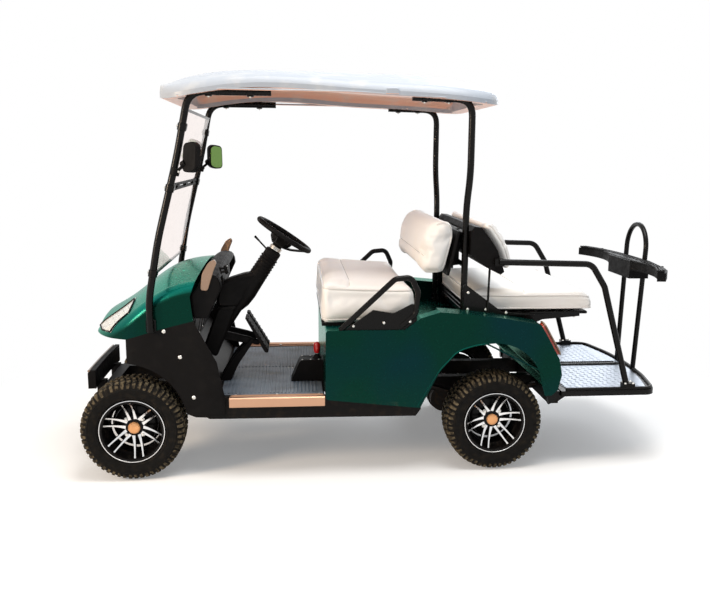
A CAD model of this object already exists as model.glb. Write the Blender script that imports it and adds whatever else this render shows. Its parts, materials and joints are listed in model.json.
# %% [markdown]
# A four-seat golf cart, dressed for its portrait.
#
# The cart comes in as a fixed frame: every tube, panel and wheel already has its
# real size and place, in metres, with +Z up, the nose towards -X and the driver
# at -Y. What is added here is what a camera and a hand would notice: tread on the
# tyres, machined faces on the alloy wheels, stitched vinyl, ribs, bolts and a
# proper finish on every surface. Nothing in the frame is moved. A piece that has
# to look richer than its solid replaces it in the same place.

# %% Load the frame
import json
import math

import bmesh
import bpy
from mathutils import Matrix, Vector
from mathutils.bvhtree import BVHTree
from mathutils.kdtree import KDTree

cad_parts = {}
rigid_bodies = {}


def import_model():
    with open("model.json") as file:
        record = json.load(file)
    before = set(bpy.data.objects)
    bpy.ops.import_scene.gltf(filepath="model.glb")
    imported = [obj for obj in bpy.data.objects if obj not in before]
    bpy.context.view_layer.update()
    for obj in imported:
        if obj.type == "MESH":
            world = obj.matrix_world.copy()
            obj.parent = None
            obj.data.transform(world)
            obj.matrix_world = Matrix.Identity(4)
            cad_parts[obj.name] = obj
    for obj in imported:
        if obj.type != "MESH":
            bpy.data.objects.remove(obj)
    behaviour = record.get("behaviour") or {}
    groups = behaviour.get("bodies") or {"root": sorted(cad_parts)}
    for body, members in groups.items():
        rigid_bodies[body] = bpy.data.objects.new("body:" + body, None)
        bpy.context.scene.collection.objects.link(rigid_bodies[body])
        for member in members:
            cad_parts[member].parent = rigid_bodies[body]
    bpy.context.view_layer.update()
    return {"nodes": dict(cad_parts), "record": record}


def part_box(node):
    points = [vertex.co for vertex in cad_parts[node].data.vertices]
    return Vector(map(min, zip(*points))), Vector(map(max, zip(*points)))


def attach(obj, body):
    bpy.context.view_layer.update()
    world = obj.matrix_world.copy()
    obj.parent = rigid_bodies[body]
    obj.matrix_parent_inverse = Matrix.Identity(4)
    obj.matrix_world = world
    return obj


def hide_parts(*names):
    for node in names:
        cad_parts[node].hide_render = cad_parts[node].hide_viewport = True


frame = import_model()
nodes = frame["nodes"]
slot_of = {row["node"]: row["material_slot"] for row in frame["record"]["subparts"]}
body_of = {node: body for body, row in frame["record"]["behaviour"]["bodies"].items() for node in row}

# %% [markdown]
# Stations on a vehicle are easiest to think of from the middle of the wheelbase.
# They could be typed in metres from the frame's origin, but drawings of carts are
# in millimetres, so places are written that way and turned into metres once.

# %% Places in millimetres
MILLIMETRE = 0.001
WHEELBASE_MID = -321.0


def mm(x, y, z):
    """A vector given in millimetres."""
    return Vector((x, y, z)) * MILLIMETRE


def at(x, y, z):
    """A point given by its station, width and height in millimetres."""
    return mm(WHEELBASE_MID + x, y, z)


def in_mm(point):
    """Station, width and height of a point of the frame."""
    return (Vector(point) - at(0, 0, 0)) / MILLIMETRE


# %% [markdown]
# A finish is a small tree of shader nodes. It could be built by hand in the
# shader editor, or typed out node by node. Most finishes start alike, though: one
# Principled shader, with the plain numbers set straight on its sockets. What
# varies over the surface, such as dust, grain or flakes, is then added by short
# helpers, so that each finish below reads as a list of what the surface has.

# %% Shader helpers
class Finish:
    """A material with its Principled shader and a few ways to vary it."""

    def __init__(self, name, colour, rough, metal=0.0, **sockets):
        self.material = bpy.data.materials.new(name)
        self.material.use_nodes = True
        self.tree = self.material.node_tree
        self.shader = self.tree.nodes["Principled BSDF"]
        self.shader.inputs["Base Color"].default_value = (*colour, 1)
        self.shader.inputs["Roughness"].default_value = rough
        self.shader.inputs["Metallic"].default_value = metal
        self.colour = (*colour, 1)
        self.rough = rough
        self.bumps = None
        for socket, value in sockets.items():
            self.shader.inputs[socket.replace("_", " ")].default_value = value
        self.material.diffuse_color = (*colour, 1)

    def node(self, kind, **values):
        """A new node with some of its settings."""
        made = self.tree.nodes.new(kind)
        for key, value in values.items():
            setattr(made, key, value)
        return made

    def link(self, output, socket):
        """Joins two sockets."""
        self.tree.links.new(output, socket)

    def place(self, scale=(1, 1, 1), turn=(0, 0, 0)):
        """Object coordinates, stretched by scale."""
        where = self.node("ShaderNodeTexCoord")
        mapping = self.node("ShaderNodeMapping")
        mapping.inputs["Scale"].default_value = scale
        mapping.inputs["Rotation"].default_value = turn
        self.link(where.outputs["Object"], mapping.inputs["Vector"])
        return mapping.outputs["Vector"]

    def noise(self, size, detail=4.0, stretch=(1, 1, 1)):
        """Noise whose lumps are about size metres across."""
        noise = self.node("ShaderNodeTexNoise")
        noise.inputs["Scale"].default_value = 1.0 / size
        noise.inputs["Detail"].default_value = detail
        self.link(self.place(stretch), noise.inputs["Vector"])
        return noise.outputs["Fac"]

    def cells(self, size):
        """Distance from the middle of cells about size metres across."""
        cells = self.node("ShaderNodeTexVoronoi")
        cells.inputs["Scale"].default_value = 1.0 / size
        self.link(self.place(), cells.inputs["Vector"])
        return cells.outputs["Distance"]

    def ramp(self, value, low, high):
        """Turns a value between low and high into 0 to 1."""
        ramp = self.node("ShaderNodeMapRange")
        ramp.inputs["From Min"].default_value = low
        ramp.inputs["From Max"].default_value = high
        self.link(value, ramp.inputs["Value"])
        return ramp.outputs["Result"]

    def facing(self, direction):
        """How far the surface looks along a direction, from -1 to 1."""
        geometry = self.node("ShaderNodeNewGeometry")
        dot = self.node("ShaderNodeVectorMath", operation="DOT_PRODUCT")
        dot.inputs[1].default_value = direction
        self.link(geometry.outputs["Normal"], dot.inputs[0])
        return dot.outputs["Value"]

    def height(self):
        """Height in metres, in the object's own frame."""
        where = self.node("ShaderNodeTexCoord")
        split = self.node("ShaderNodeSeparateXYZ")
        self.link(where.outputs["Object"], split.inputs["Vector"])
        return split.outputs["Z"]

    def tint(self, colour, factor):
        """Mixes another colour in where factor is high."""
        socket = self.shader.inputs["Base Color"]
        mix = self.node("ShaderNodeMix", data_type="RGBA")
        mix.inputs["B"].default_value = (*colour, 1)
        if socket.is_linked:
            self.link(socket.links[0].from_socket, mix.inputs["A"])
        else:
            mix.inputs["A"].default_value = self.colour
        self.link(factor, mix.inputs["Factor"])
        self.link(mix.outputs["Result"], socket)
        return self

    def dull(self, rough, factor):
        """Moves the roughness towards rough where factor is high."""
        socket = self.shader.inputs["Roughness"]
        mix = self.node("ShaderNodeMix", data_type="FLOAT")
        mix.inputs["B"].default_value = rough
        if socket.is_linked:
            self.link(socket.links[0].from_socket, mix.inputs["A"])
        else:
            mix.inputs["A"].default_value = self.rough
        self.link(factor, mix.inputs["Factor"])
        self.link(mix.outputs["Result"], socket)
        return self

    def bump(self, value, depth, strength=0.4):
        """Adds relief, depth metres deep."""
        bump = self.node("ShaderNodeBump")
        bump.inputs["Distance"].default_value = depth
        bump.inputs["Strength"].default_value = strength
        self.link(value, bump.inputs["Height"])
        if self.bumps:
            self.link(self.bumps, bump.inputs["Normal"])
        self.bumps = bump.outputs["Normal"]
        self.link(self.bumps, self.shader.inputs["Normal"])
        return self

    def times(self, a, b):
        """The product of a value with another value or a plain number."""
        product = self.node("ShaderNodeMath", operation="MULTIPLY")
        self.link(a, product.inputs[0])
        if isinstance(b, float):
            product.inputs[1].default_value = b
        else:
            self.link(b, product.inputs[1])
        return product.outputs["Value"]


print("finish helpers:", [name for name in vars(Finish) if not name.startswith("_")])

# %% [markdown]
# The body is painted in a deep metallic green under lacquer, and the roof is a
# white gelcoat moulding whose underside was left raw. One flat colour would do
# from far away. Real flake paint is a dark base, fine bright cells and a glossy
# coat, so it is made of just those three, and faces that look up at the sky are
# lighter. A little dust gathers low down.

# %% Paint and gelcoat
DUST = (0.42, 0.33, 0.22)


def body_paint():
    """Metallic green: fine flakes, a lighter nose and shoulders, dust low down."""
    f = Finish(
        "body green", (0.0003, 0.021, 0.0135), 0.26, 0.5, Specular_Tint=(0.2, 1.0, 0.7, 1),
        Coat_Weight=0.06, Coat_Roughness=0.04, Specular_IOR_Level=0.2,
    )
    f.tint((0.003, 0.085, 0.062), f.times(f.ramp(f.cells(0.0016), 0.55, 0.1), 0.25))
    f.tint((0.004, 0.20, 0.165), f.times(f.ramp(f.facing((-0.35, -0.5, 0.8)), 0.72, 0.97), 0.85))
    f.tint((0.001, 0.02, 0.028), f.ramp(f.noise(0.35, 2), 0.45, 0.75))
    f.tint(DUST, f.times(f.ramp(f.noise(0.05), 0.56, 0.85), f.ramp(f.height(), 0.36, 0.26)))
    f.dull(0.5, f.ramp(f.noise(0.02), 0.6, 0.9))
    f.bump(f.noise(0.006, 2), 0.0001, 0.12)
    return f.material


def roof_gelcoat():
    """Cool white above, and the raw warm colour of the moulding below."""
    f = Finish(
        "roof white", (0.43, 0.47, 0.53), 0.35,
        Coat_Weight=0.15, Coat_Roughness=0.2, Specular_IOR_Level=0.2,
    )
    f.tint((0.92, 0.52, 0.38), f.ramp(f.facing((0, 0, -1)), 0.1, 0.6))
    f.tint((0.7, 0.68, 0.64), f.times(f.ramp(f.noise(0.09), 0.5, 0.8), 0.5))
    f.bump(f.noise(0.012, 3), 0.0004, 0.25)
    return f.material


FINISH = {"body_green": body_paint(), "roof_white": roof_gelcoat()}
print("finishes so far:", len(FINISH))

# %% [markdown]
# Seats are marine vinyl: a creamy white skin with a fine pebbled grain and a soft
# sheen. The grain could be modelled, but it is far smaller than any mesh here, so
# it is a bump of cells. Cells over two millimetres make a seat look like a toy.

# %% Vinyl
def vinyl():
    """Pebbled cream vinyl, a little yellowed in places."""
    f = Finish("vinyl", (0.93, 0.91, 0.885), 0.42, Coat_Weight=0.15, Coat_Roughness=0.4)
    f.shader.inputs["Sheen Weight"].default_value = 0.1
    f.tint((0.88, 0.76, 0.58), f.times(f.ramp(f.noise(0.3, 2), 0.5, 0.85), 0.35))
    f.dull(0.6, f.ramp(f.noise(0.03), 0.45, 0.8))
    f.bump(f.cells(0.0018), 0.0003, 0.35)
    f.bump(f.noise(0.05, 3), 0.002, 0.15)
    return f.material


FINISH["vinyl"] = vinyl()
print("finishes so far:", len(FINISH))

# %% [markdown]
# Tyres, floor mat and trim are all dark and dull, so it is their differences that
# count: tread holds dried mud, sidewalls stay clean, the mat is worn in patches
# and moulded trim has a leather-like texture. Each gets its own noise, at the
# size that its real dirt or grain has.

# %% Rubber and moulded plastic
def rubber():
    """The clean side of a tyre."""
    f = Finish("tyre rubber", (0.0055, 0.005, 0.0046), 0.7, Specular_IOR_Level=0.12)
    f.tint((0.05, 0.038, 0.026), f.times(f.ramp(f.noise(0.03), 0.5, 0.85), 0.4))
    f.dull(0.9, f.ramp(f.noise(0.015), 0.4, 0.7))
    f.bump(f.noise(0.002, 3), 0.0004, 0.4)
    return f.material


def dusty_rubber():
    """Tread blocks, which hold dried mud."""
    f = Finish("tread rubber", (0.012, 0.010, 0.008), 0.85, Specular_IOR_Level=0.15)
    f.tint((0.21, 0.165, 0.10), f.ramp(f.noise(0.018), 0.4, 0.75))
    f.bump(f.noise(0.0025, 3), 0.0006, 0.5)
    return f.material


def moulded(name="moulded plastic", colour=(0.0035, 0.003, 0.003)):
    """Textured black plastic, scuffed grey in places."""
    f = Finish(name, colour, 0.5, Specular_IOR_Level=0.1)
    f.tint((0.016, 0.014, 0.013), f.times(f.ramp(f.noise(0.07), 0.5, 0.85), 0.4))
    f.dull(0.7, f.ramp(f.noise(0.03), 0.4, 0.8))
    f.bump(f.cells(0.0014), 0.00025, 0.35)
    return f.material


def mat_rubber():
    """A grey floor mat, darker where feet stand and dusty elsewhere."""
    f = Finish("floor mat", (0.165, 0.20, 0.245), 0.45, Specular_IOR_Level=0.3)
    f.tint((0.06, 0.064, 0.07), f.ramp(f.noise(0.12), 0.45, 0.75))
    f.tint(DUST, f.times(f.ramp(f.noise(0.04), 0.6, 0.85), 0.4))
    f.bump(f.noise(0.002, 2), 0.0003, 0.3)
    return f.material


FINISH["tyre"] = rubber()
FINISH["tread"] = dusty_rubber()
FINISH["trim_black"] = moulded()
FINISH["battery"] = moulded("battery case", (0.03, 0.03, 0.032))
FINISH["mat_grey"] = mat_rubber()
print("finishes so far:", len(FINISH))

# %% [markdown]
# Tubes and the underbody are steel. Powder coat pools into a faint orange peel,
# chassis paint is brushed on, and castings are rough and rusty. A metallic shader
# under the coat would be truer to how they are made, but no bare metal shows, so
# black paint with a bump is enough.

# %% Painted steel and castings
def powder_coat():
    """The baked coat of the roof tubes and rails."""
    f = Finish(
        "powder coat", (0.003, 0.0025, 0.0022), 0.26,
        Coat_Weight=0.1, Coat_Roughness=0.1, Specular_IOR_Level=0.12,
    )
    f.dull(0.45, f.ramp(f.noise(0.02), 0.45, 0.8))
    f.bump(f.noise(0.0025, 2), 0.0002, 0.3)
    return f.material


def frame_paint():
    """Brushed paint of the chassis, with rust coming through."""
    f = Finish("frame paint", (0.006, 0.005, 0.0045), 0.5, Specular_IOR_Level=0.12)
    f.tint((0.04, 0.026, 0.016), f.times(f.ramp(f.noise(0.04), 0.5, 0.8), 0.5))
    f.bump(f.noise(0.003, 3), 0.0004, 0.4)
    return f.material


def cast_iron():
    """Rough castings and springs."""
    f = Finish("cast iron", (0.025, 0.021, 0.019), 0.65, 0.4, Specular_IOR_Level=0.2)
    f.tint((0.09, 0.042, 0.018), f.times(f.ramp(f.noise(0.02), 0.5, 0.75), 0.6))
    f.bump(f.noise(0.0025, 4), 0.0008, 0.6)
    return f.material


def gloss_black():
    """The lacquer of the wheels, with brake dust."""
    f = Finish(
        "rim black", (0.0035, 0.003, 0.003), 0.3,
        Coat_Weight=0.08, Coat_Roughness=0.08, Specular_IOR_Level=0.1,
    )
    f.tint((0.05, 0.04, 0.03), f.times(f.ramp(f.noise(0.02), 0.55, 0.85), 0.35))
    f.dull(0.4, f.ramp(f.noise(0.012), 0.5, 0.85))
    return f.material


FINISH["tube_black"] = powder_coat()
FINISH["frame_black"] = frame_paint()
FINISH["cast"] = cast_iron()
FINISH["rim"] = gloss_black()
print("finishes so far:", len(FINISH))

# %% [markdown]
# Sill plates, tread plate, spoke faces, bolts and the mirror glass are bare or
# plated metal. They could share one material. But bare metal takes its whole look
# from its colour and its marks, so each has a colour of its own. The marks are
# noise, drawn out along the sills, which are extruded, and even on the rest.

# %% Bare metal
EVEN = (1, 1, 1)
SILL_GRAIN = (2, 30, 30)


def machined(name, colour, rough, stretch=EVEN):
    """Bare metal with marks, which are longest where stretch is small."""
    f = Finish(name, colour, rough, 1.0)
    f.dull(rough + 0.2, f.ramp(f.noise(0.02, 3, stretch), 0.4, 0.75))
    f.bump(f.noise(0.01, 2, stretch), 0.00015, 0.3)
    return f.material


FINISH["sill"] = machined("peach aluminium", (0.56, 0.33, 0.215), 0.34, SILL_GRAIN)
FINISH["plate"] = machined("tread plate", (0.33, 0.36, 0.41), 0.34)
FINISH["silver"] = machined("machined alloy", (0.78, 0.78, 0.78), 0.18)
FINISH["copper"] = machined("copper cap", (0.72, 0.36, 0.16), 0.25)
FINISH["zinc"] = machined("zinc bolt", (0.72, 0.70, 0.66), 0.3)
FINISH["mirror"] = machined("mirror glass", (0.16, 0.27, 0.08), 0.05)
print("finishes so far:", len(FINISH))

# %% [markdown]
# The windscreen is acrylic, and the lamps are cast plastic. A real sheet bends
# light twice, once at each face. The frame's pane has both faces too, but an
# index of 1.08 bends far less than the true 1.49, which keeps the view through it
# straight and free of dark edges.

# %% Glass and bright plastics
def acrylic():
    """The windscreen, faintly wavy and rubbed dull in places."""
    f = Finish("windscreen", (0.95, 0.85, 0.81), 0.03, Transmission_Weight=1.0, IOR=1.08)
    f.dull(0.12, f.ramp(f.noise(0.05), 0.6, 0.9))
    f.bump(f.noise(0.15, 2), 0.0004, 0.1)
    return f.material


def lens(name, colour, rough, clear):
    """A lamp cover; clear says how much light goes through."""
    f = Finish(name, colour, rough, Transmission_Weight=clear, IOR=1.45, Coat_Weight=0.5)
    f.dull(0.3, f.ramp(f.noise(0.01), 0.55, 0.9))
    f.bump(f.noise(0.006, 1), 0.0004, 0.3)
    return f.material


def glossy_plastic(name, colour):
    """A small bright moulding."""
    f = Finish(name, colour, 0.2, Coat_Weight=0.8, Coat_Roughness=0.08)
    f.dull(0.4, f.ramp(f.noise(0.01), 0.5, 0.9))
    f.bump(f.noise(0.003, 2), 0.0001, 0.15)
    return f.material


FINISH["glass"] = acrylic()
FINISH["lamp_clear"] = lens("lamp clear", (0.88, 0.87, 0.80), 0.14, 0.3)
FINISH["lamp_red"] = lens("lamp red", (0.80, 0.07, 0.02), 0.15, 0.25)
FINISH["knob"] = glossy_plastic("red knob", (0.65, 0.012, 0.012))
FINISH["tan"] = glossy_plastic("tan trim", (0.30, 0.19, 0.12))
FINISH["thread"] = glossy_plastic("seam", (0.62, 0.58, 0.52))
FINISH["piping"] = glossy_plastic("piping", (0.80, 0.77, 0.74))
print("finishes so far:", len(FINISH))

# %% [markdown]
# Each solid of the frame names the finish that it wants by its slot. Finishes
# could be given out one solid at a time. Looking them up by slot dresses the
# whole cart in one loop, and no solid is forgotten.

# %% Dress the frame
for name, node in nodes.items():
    node.data.materials.clear()
    node.data.materials.append(FINISH[slot_of[name]])
print("slots in use:", sorted(set(slot_of.values())))

# %% [markdown]
# The camera comes before the pieces, because every later choice is checked
# through it. It stands four metres off the driver's side, a little above the
# seats, and looks slightly down and along the cart. It could be aimed with a
# constraint, but three measured angles say plainly where it looks. The lens is
# shifted a touch, which moves the cart in the frame without turning the camera.

# %% Camera
SENSOR_WIDE = 36.0
FRAME_WIDE = 710
FOCAL_PIXELS = 839.5
AXIS_OFF_CENTRE = (40.0, 18.2)
YAW, DOWN, ROLL = math.radians(6.89), math.radians(10.66), math.radians(0.8)
CAMERA_AT = at(-103, -4322, 1482)

forward = Vector((math.sin(YAW) * math.cos(DOWN), math.cos(YAW) * math.cos(DOWN), -math.sin(DOWN)))
level = Vector((math.cos(YAW), -math.sin(YAW), 0))
upright = level.cross(forward)
right = level * math.cos(ROLL) + upright * math.sin(ROLL)
above = upright * math.cos(ROLL) - level * math.sin(ROLL)
camera = bpy.data.objects.new("camera", bpy.data.cameras.new("camera"))
bpy.context.scene.collection.objects.link(camera)
camera.matrix_world = Matrix.Translation(CAMERA_AT) @ Matrix((right, above, -forward)).transposed().to_4x4()
camera.data.sensor_width = SENSOR_WIDE
camera.data.lens = SENSOR_WIDE * FOCAL_PIXELS / FRAME_WIDE
camera.data.shift_x = -AXIS_OFF_CENTRE[0] / FRAME_WIDE
camera.data.shift_y = AXIS_OFF_CENTRE[1] / FRAME_WIDE
bpy.context.scene.camera = camera
print("lens:", round(camera.data.lens, 2), "mm")

# %% [markdown]
# The light is a plain studio with a pale floor and a pale world. Seen directly,
# or mirrored in paint and glass, both are white. A brighter world would do that
# too, but it would wash out the cart. The Light Path node knows what kind of ray
# asks, so the white can be kept from the rays that light the cart.

# %% White when seen
def white_when_seen(tree, shade):
    """Shows a plain white instead of shade to camera, mirror and glass rays."""
    path = tree.nodes.new("ShaderNodeLightPath")
    most = path.outputs["Is Camera Ray"]
    for kind in ("Is Glossy Ray", "Is Transmission Ray"):
        either = tree.nodes.new("ShaderNodeMath")
        either.operation = "MAXIMUM"
        tree.links.new(most, either.inputs[0])
        tree.links.new(path.outputs[kind], either.inputs[1])
        most = either.outputs["Value"]
    mix = tree.nodes.new("ShaderNodeMixShader")
    tree.links.new(most, mix.inputs["Fac"])
    tree.links.new(shade, mix.inputs[1])
    return mix


print("white for camera, mirror and glass rays")

# %% [markdown]
# The floor keeps the cart's soft shadow and nothing else. A shadow catcher would
# also do that, but it needs a second layer of the picture. Here the floor is a
# pale diffuse sheet with a faint glow of its own, which fades to plain white
# beyond the shadow's end.

# %% Floor
FLOOR_HALF = 12.0
FLOOR_GLOW = 0.22
SHADOW_END = 2.6
SHADOW_FADE = 0.7
floor_mesh = bpy.data.meshes.new("floor")
floor_corners = [(x * FLOOR_HALF, y * FLOOR_HALF, 0.0) for x, y in ((-1, -1), (1, -1), (1, 1), (-1, 1))]
floor_mesh.from_pydata(floor_corners, [], [(0, 1, 2, 3)])
floor = bpy.data.objects.new("floor", floor_mesh)
bpy.context.scene.collection.objects.link(floor)
floor_material = bpy.data.materials.new("floor")
floor_material.use_nodes = True
tree = floor_material.node_tree
tree.nodes.remove(tree.nodes["Principled BSDF"])
pale = tree.nodes.new("ShaderNodeBsdfDiffuse")
pale.inputs["Color"].default_value = (0.8, 0.8, 0.8, 1)
seen = tree.nodes.new("ShaderNodeBsdfDiffuse")
seen.inputs["Color"].default_value = (0.9, 0.9, 0.9, 1)
glow = tree.nodes.new("ShaderNodeEmission")
glow.inputs["Color"].default_value = (1, 1, 1, 1)
glow.inputs["Strength"].default_value = FLOOR_GLOW
both = tree.nodes.new("ShaderNodeAddShader")
tree.links.new(seen.outputs[0], both.inputs[0])
tree.links.new(glow.outputs[0], both.inputs[1])
where = tree.nodes.new("ShaderNodeTexCoord")
away = tree.nodes.new("ShaderNodeVectorMath")
away.operation = "LENGTH"
tree.links.new(where.outputs["Object"], away.inputs[0])
fade = tree.nodes.new("ShaderNodeMapRange")
fade.inputs["From Min"].default_value = SHADOW_END - SHADOW_FADE
fade.inputs["From Max"].default_value = SHADOW_END
tree.links.new(away.outputs["Value"], fade.inputs["Value"])
far_white = tree.nodes.new("ShaderNodeEmission")
shadowed = tree.nodes.new("ShaderNodeMixShader")
tree.links.new(fade.outputs["Result"], shadowed.inputs["Fac"])
tree.links.new(both.outputs[0], shadowed.inputs[1])
tree.links.new(far_white.outputs[0], shadowed.inputs[2])
mix = white_when_seen(tree, pale.outputs[0])
tree.links.new(shadowed.outputs[0], mix.inputs[2])
tree.links.new(mix.outputs[0], tree.nodes["Material Output"].inputs["Surface"])
floor_mesh.materials.append(floor_material)
print("shadow ends", SHADOW_END, "m from the middle")

# %% [markdown]
# The world is the sky of the studio: a cool, even light from all round that fills
# the shadows. An image of a real studio would give livelier mirrors, but the file
# must stand alone.

# %% World
WORLD_LIGHT = 0.42
world = bpy.data.worlds.new("studio")
bpy.context.scene.world = world
world.use_nodes = True
tree = world.node_tree
soft = tree.nodes["Background"]
soft.inputs["Color"].default_value = (0.96, 0.98, 1.0, 1)
soft.inputs["Strength"].default_value = WORLD_LIGHT
white = tree.nodes.new("ShaderNodeBackground")
white.inputs["Color"].default_value = (1, 1, 1, 1)
mix = white_when_seen(tree, soft.outputs[0])
tree.links.new(white.outputs[0], mix.inputs[2])
tree.links.new(mix.outputs[0], tree.nodes["World Output"].inputs["Surface"])
print("world light:", WORLD_LIGHT)

# %% [markdown]
# Three soft lamps shape the cart: a small warm one low at the front, like a late
# sun, a broad one overhead, and a cool one at the back right that lifts the far
# edges. Point lamps would cast hard shadows, so all three are areas, and the
# smallest gives the crispest edge.

# %% Lamps
LAMP_AIM = Vector((0, 0, 0.8))
# name, place, width, watts, colour
LAMPS = [
    ("low sun", (-4.6, -2.6, 2.2), 1.2, 150, (1.0, 0.80, 0.60)),
    ("overhead", (0.3, -0.9, 4.6), 2.6, 150, (1.0, 0.99, 0.97)),
    ("back", (2.4, 3.8, 3.0), 2.5, 70, (0.92, 0.96, 1.0)),
]
for name, place, width, watts, colour in LAMPS:
    lamp = bpy.data.lights.new(name, "AREA")
    lamp.size = width
    lamp.energy = watts
    lamp.color = colour
    holder = bpy.data.objects.new(name, lamp)
    bpy.context.scene.collection.objects.link(holder)
    holder.location = place
    holder.rotation_euler = (LAMP_AIM - Vector(place)).to_track_quat("-Z", "Y").to_euler()
bpy.context.scene.view_settings.view_transform = "Standard"
print("lamps:", len(LAMPS))

# %% [markdown]
# Every piece below is built from a few moves, and two of them carry the others: a
# frame set on an axis, and a skin that joins rings of points. Primitives scaled
# to size would be quicker, but their edges stay razor sharp. Skins can hold a
# small chamfer wherever one is needed, and a chamfer is what catches light.

# %% Frames and skins
SHARP = math.radians(32)


def turn_frame(origin, axis, up=(0, 0, 1)):
    """A frame whose z runs along axis and whose x is as near to up as it can be."""
    z = Vector(axis).normalized()
    x = Vector(up) - z * z.dot(Vector(up))
    x = x.normalized() if x.length > 1e-6 else z.orthogonal().normalized()
    return Matrix.Translation(origin) @ Matrix((x, z.cross(x), z)).transposed().to_4x4()


def skin(bm, rings, loop=True, caps=True, closed=False, tag=0):
    """Joins rings of points with quads; closed joins the last ring to the first."""
    rows = [[bm.verts.new(point) for point in ring] for ring in rings]
    count = len(rows[0])
    pairs = list(zip(rows, rows[1:])) + ([(rows[-1], rows[0])] if closed else [])
    made = []
    for a, b in pairs:
        for i in range(count if loop else count - 1):
            j = (i + 1) % count
            made.append(bm.faces.new((a[i], a[j], b[j], b[i])))
    if caps and not closed:
        made.append(bm.faces.new(rows[0]))
        made.append(bm.faces.new(rows[-1][::-1]))
    for face in made:
        face.material_index = tag
    return made


print("edges sharper than", round(math.degrees(SHARP)), "degrees stay crisp")

# %% [markdown]
# Hubs, knobs, nuts and tyres come off a lathe, so they are made as on a lathe: a
# profile of radii and heights, turned about an axis. The Screw modifier does the
# same, but a loop gives a mesh at once that other forms can be joined to.

# %% Turned forms
def turned(bm, frame_, profile, steps=32, tag=0, ring=False):
    """Turns a profile of (radius, height) in millimetres; ring joins its two ends."""
    rings = []
    for radius, height in profile:
        turns = [2 * math.pi * i / steps for i in range(steps)]
        rings.append([
            frame_ @ mm(radius * math.cos(a), radius * math.sin(a), height)
            for a in turns
        ])
    return skin(bm, rings, closed=ring, tag=tag)


trial = bmesh.new()
turned(trial, Matrix(), [(5, 0), (5, 3)])
print("a short turned ring has", len(trial.faces), "faces")
trial.free()

# %% [markdown]
# Plates and panels are cut from sheet with rounded corners. Two helpers draw such
# outlines: one cuts each corner round, and one moves every side inwards, which
# makes chamfers and panels within panels. Both work on a few typed corners, so an
# outline stays short enough to read.

# %% Outlines
def rounded(outline, radius, steps=4):
    """A closed outline with each corner cut round."""
    points = [Vector(p) for p in outline]
    out = []
    for before, corner, after in zip(points[-1:] + points, points, points[1:] + points[:1]):
        to_a, to_b = before - corner, after - corner
        cut = min(radius, to_a.length * 0.45, to_b.length * 0.45)
        start, end = corner + to_a.normalized() * cut, corner + to_b.normalized() * cut
        for i in range(steps + 1):
            t = i / steps
            out.append(start * (1 - t) ** 2 + corner * 2 * t * (1 - t) + end * t ** 2)
    return out


def inset(outline, depth):
    """Moves each side of a closed outline inwards."""
    points = [Vector(p) for p in outline]
    area = sum(a.x * b.y - b.x * a.y for a, b in zip(points, points[1:] + points[:1]))
    way = 1 if area > 0 else -1
    out = []
    for before, corner, after in zip(points[-1:] + points, points, points[1:] + points[:1]):
        u, v = (corner - before).normalized(), (after - corner).normalized()
        n = Vector((-u.y - v.y, u.x + v.x)) * way
        n = n.normalized() if n.length > 1e-6 else Vector((-u.y, u.x)) * way
        lean = max(0.5, n.dot(Vector((-u.y, u.x)) * way))
        out.append(corner + n * depth / lean)
    return out


print("a rounded square has", len(rounded([(0, 0), (9, 0), (9, 9), (0, 9)], 2)), "points")

# %% [markdown]
# A slab is an outline with thickness and a chamfer at both rims. A Solidify and a
# Bevel modifier would make one as well, but four rings do it in one pass, with
# the chamfer exactly where it belongs.

# %% Slabs
def slab(bm, frame_, outline, low, high, edge=1.5, tag=0):
    """A plate cut from an outline in millimetres, with chamfered rims."""
    levels = [(edge, low), (0, low + edge), (0, high - edge), (edge, high)]
    rings = []
    for depth, level in levels:
        ring = inset(outline, depth) if depth else [Vector(p) for p in outline]
        rings.append([frame_ @ mm(p.x, p.y, level) for p in ring])
    return skin(bm, rings, tag=tag)


trial = bmesh.new()
slab(trial, Matrix(), [(0, 0), (9, 0), (9, 9), (0, 9)], 0, 4)
print("a square slab has", len(trial.faces), "faces")
trial.free()

# %% [markdown]
# Tubes, bars and piping are round rods along a route. Real tube is bent on a die,
# so a route is typed as straight legs and its corners are rounded afterwards. A
# curve object with a bevel would need turning into a mesh before it could join
# the rest of a piece.

# %% Rods and bends
def rod(bm, points, radius, sides=14, tag=0, closed=False):
    """A round bar along points in metres; radius in millimetres, or one per point."""
    radii = radius if isinstance(radius, (list, tuple)) else [radius] * len(points)
    rings = []
    side = None
    for i, point in enumerate(points):
        ahead = points[(i + 1) % len(points)] if closed or i + 1 < len(points) else point
        behind = points[i - 1] if closed or i else point
        way = (ahead - behind).normalized()
        side = way.orthogonal().normalized() if side is None else (side - way * side.dot(way)).normalized()
        other = way.cross(side)
        rings.append([
            point + (side * math.cos(a) + other * math.sin(a)) * radii[i] * MILLIMETRE
            for a in (2 * math.pi * k / sides for k in range(sides))
        ])
    return skin(bm, rings, closed=closed, tag=tag)


def bent(points, radius, steps=6):
    """An open route in metres with each inner corner made round."""
    out = [points[0]]
    for before, corner, after in zip(points, points[1:], points[2:]):
        to_a, to_b = before - corner, after - corner
        cut = min(radius * MILLIMETRE, to_a.length * 0.45, to_b.length * 0.45)
        start, end = corner + to_a.normalized() * cut, corner + to_b.normalized() * cut
        for i in range(steps + 1):
            t = i / steps
            out.append(start * (1 - t) ** 2 + corner * 2 * t * (1 - t) + end * t ** 2)
    return out + [points[-1]]


print("a bend has", len(bent([at(0, 0, 0), at(99, 0, 0), at(99, 99, 0)], 20)) - 2, "points")

# %% [markdown]
# Bolt heads are small, but a plate without them looks like paper. Each is a
# flanged hexagon. Instances would be lighter, but a head is under a hundred
# faces, and as part of its plate's mesh it can't be left behind when that moves.

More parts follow.
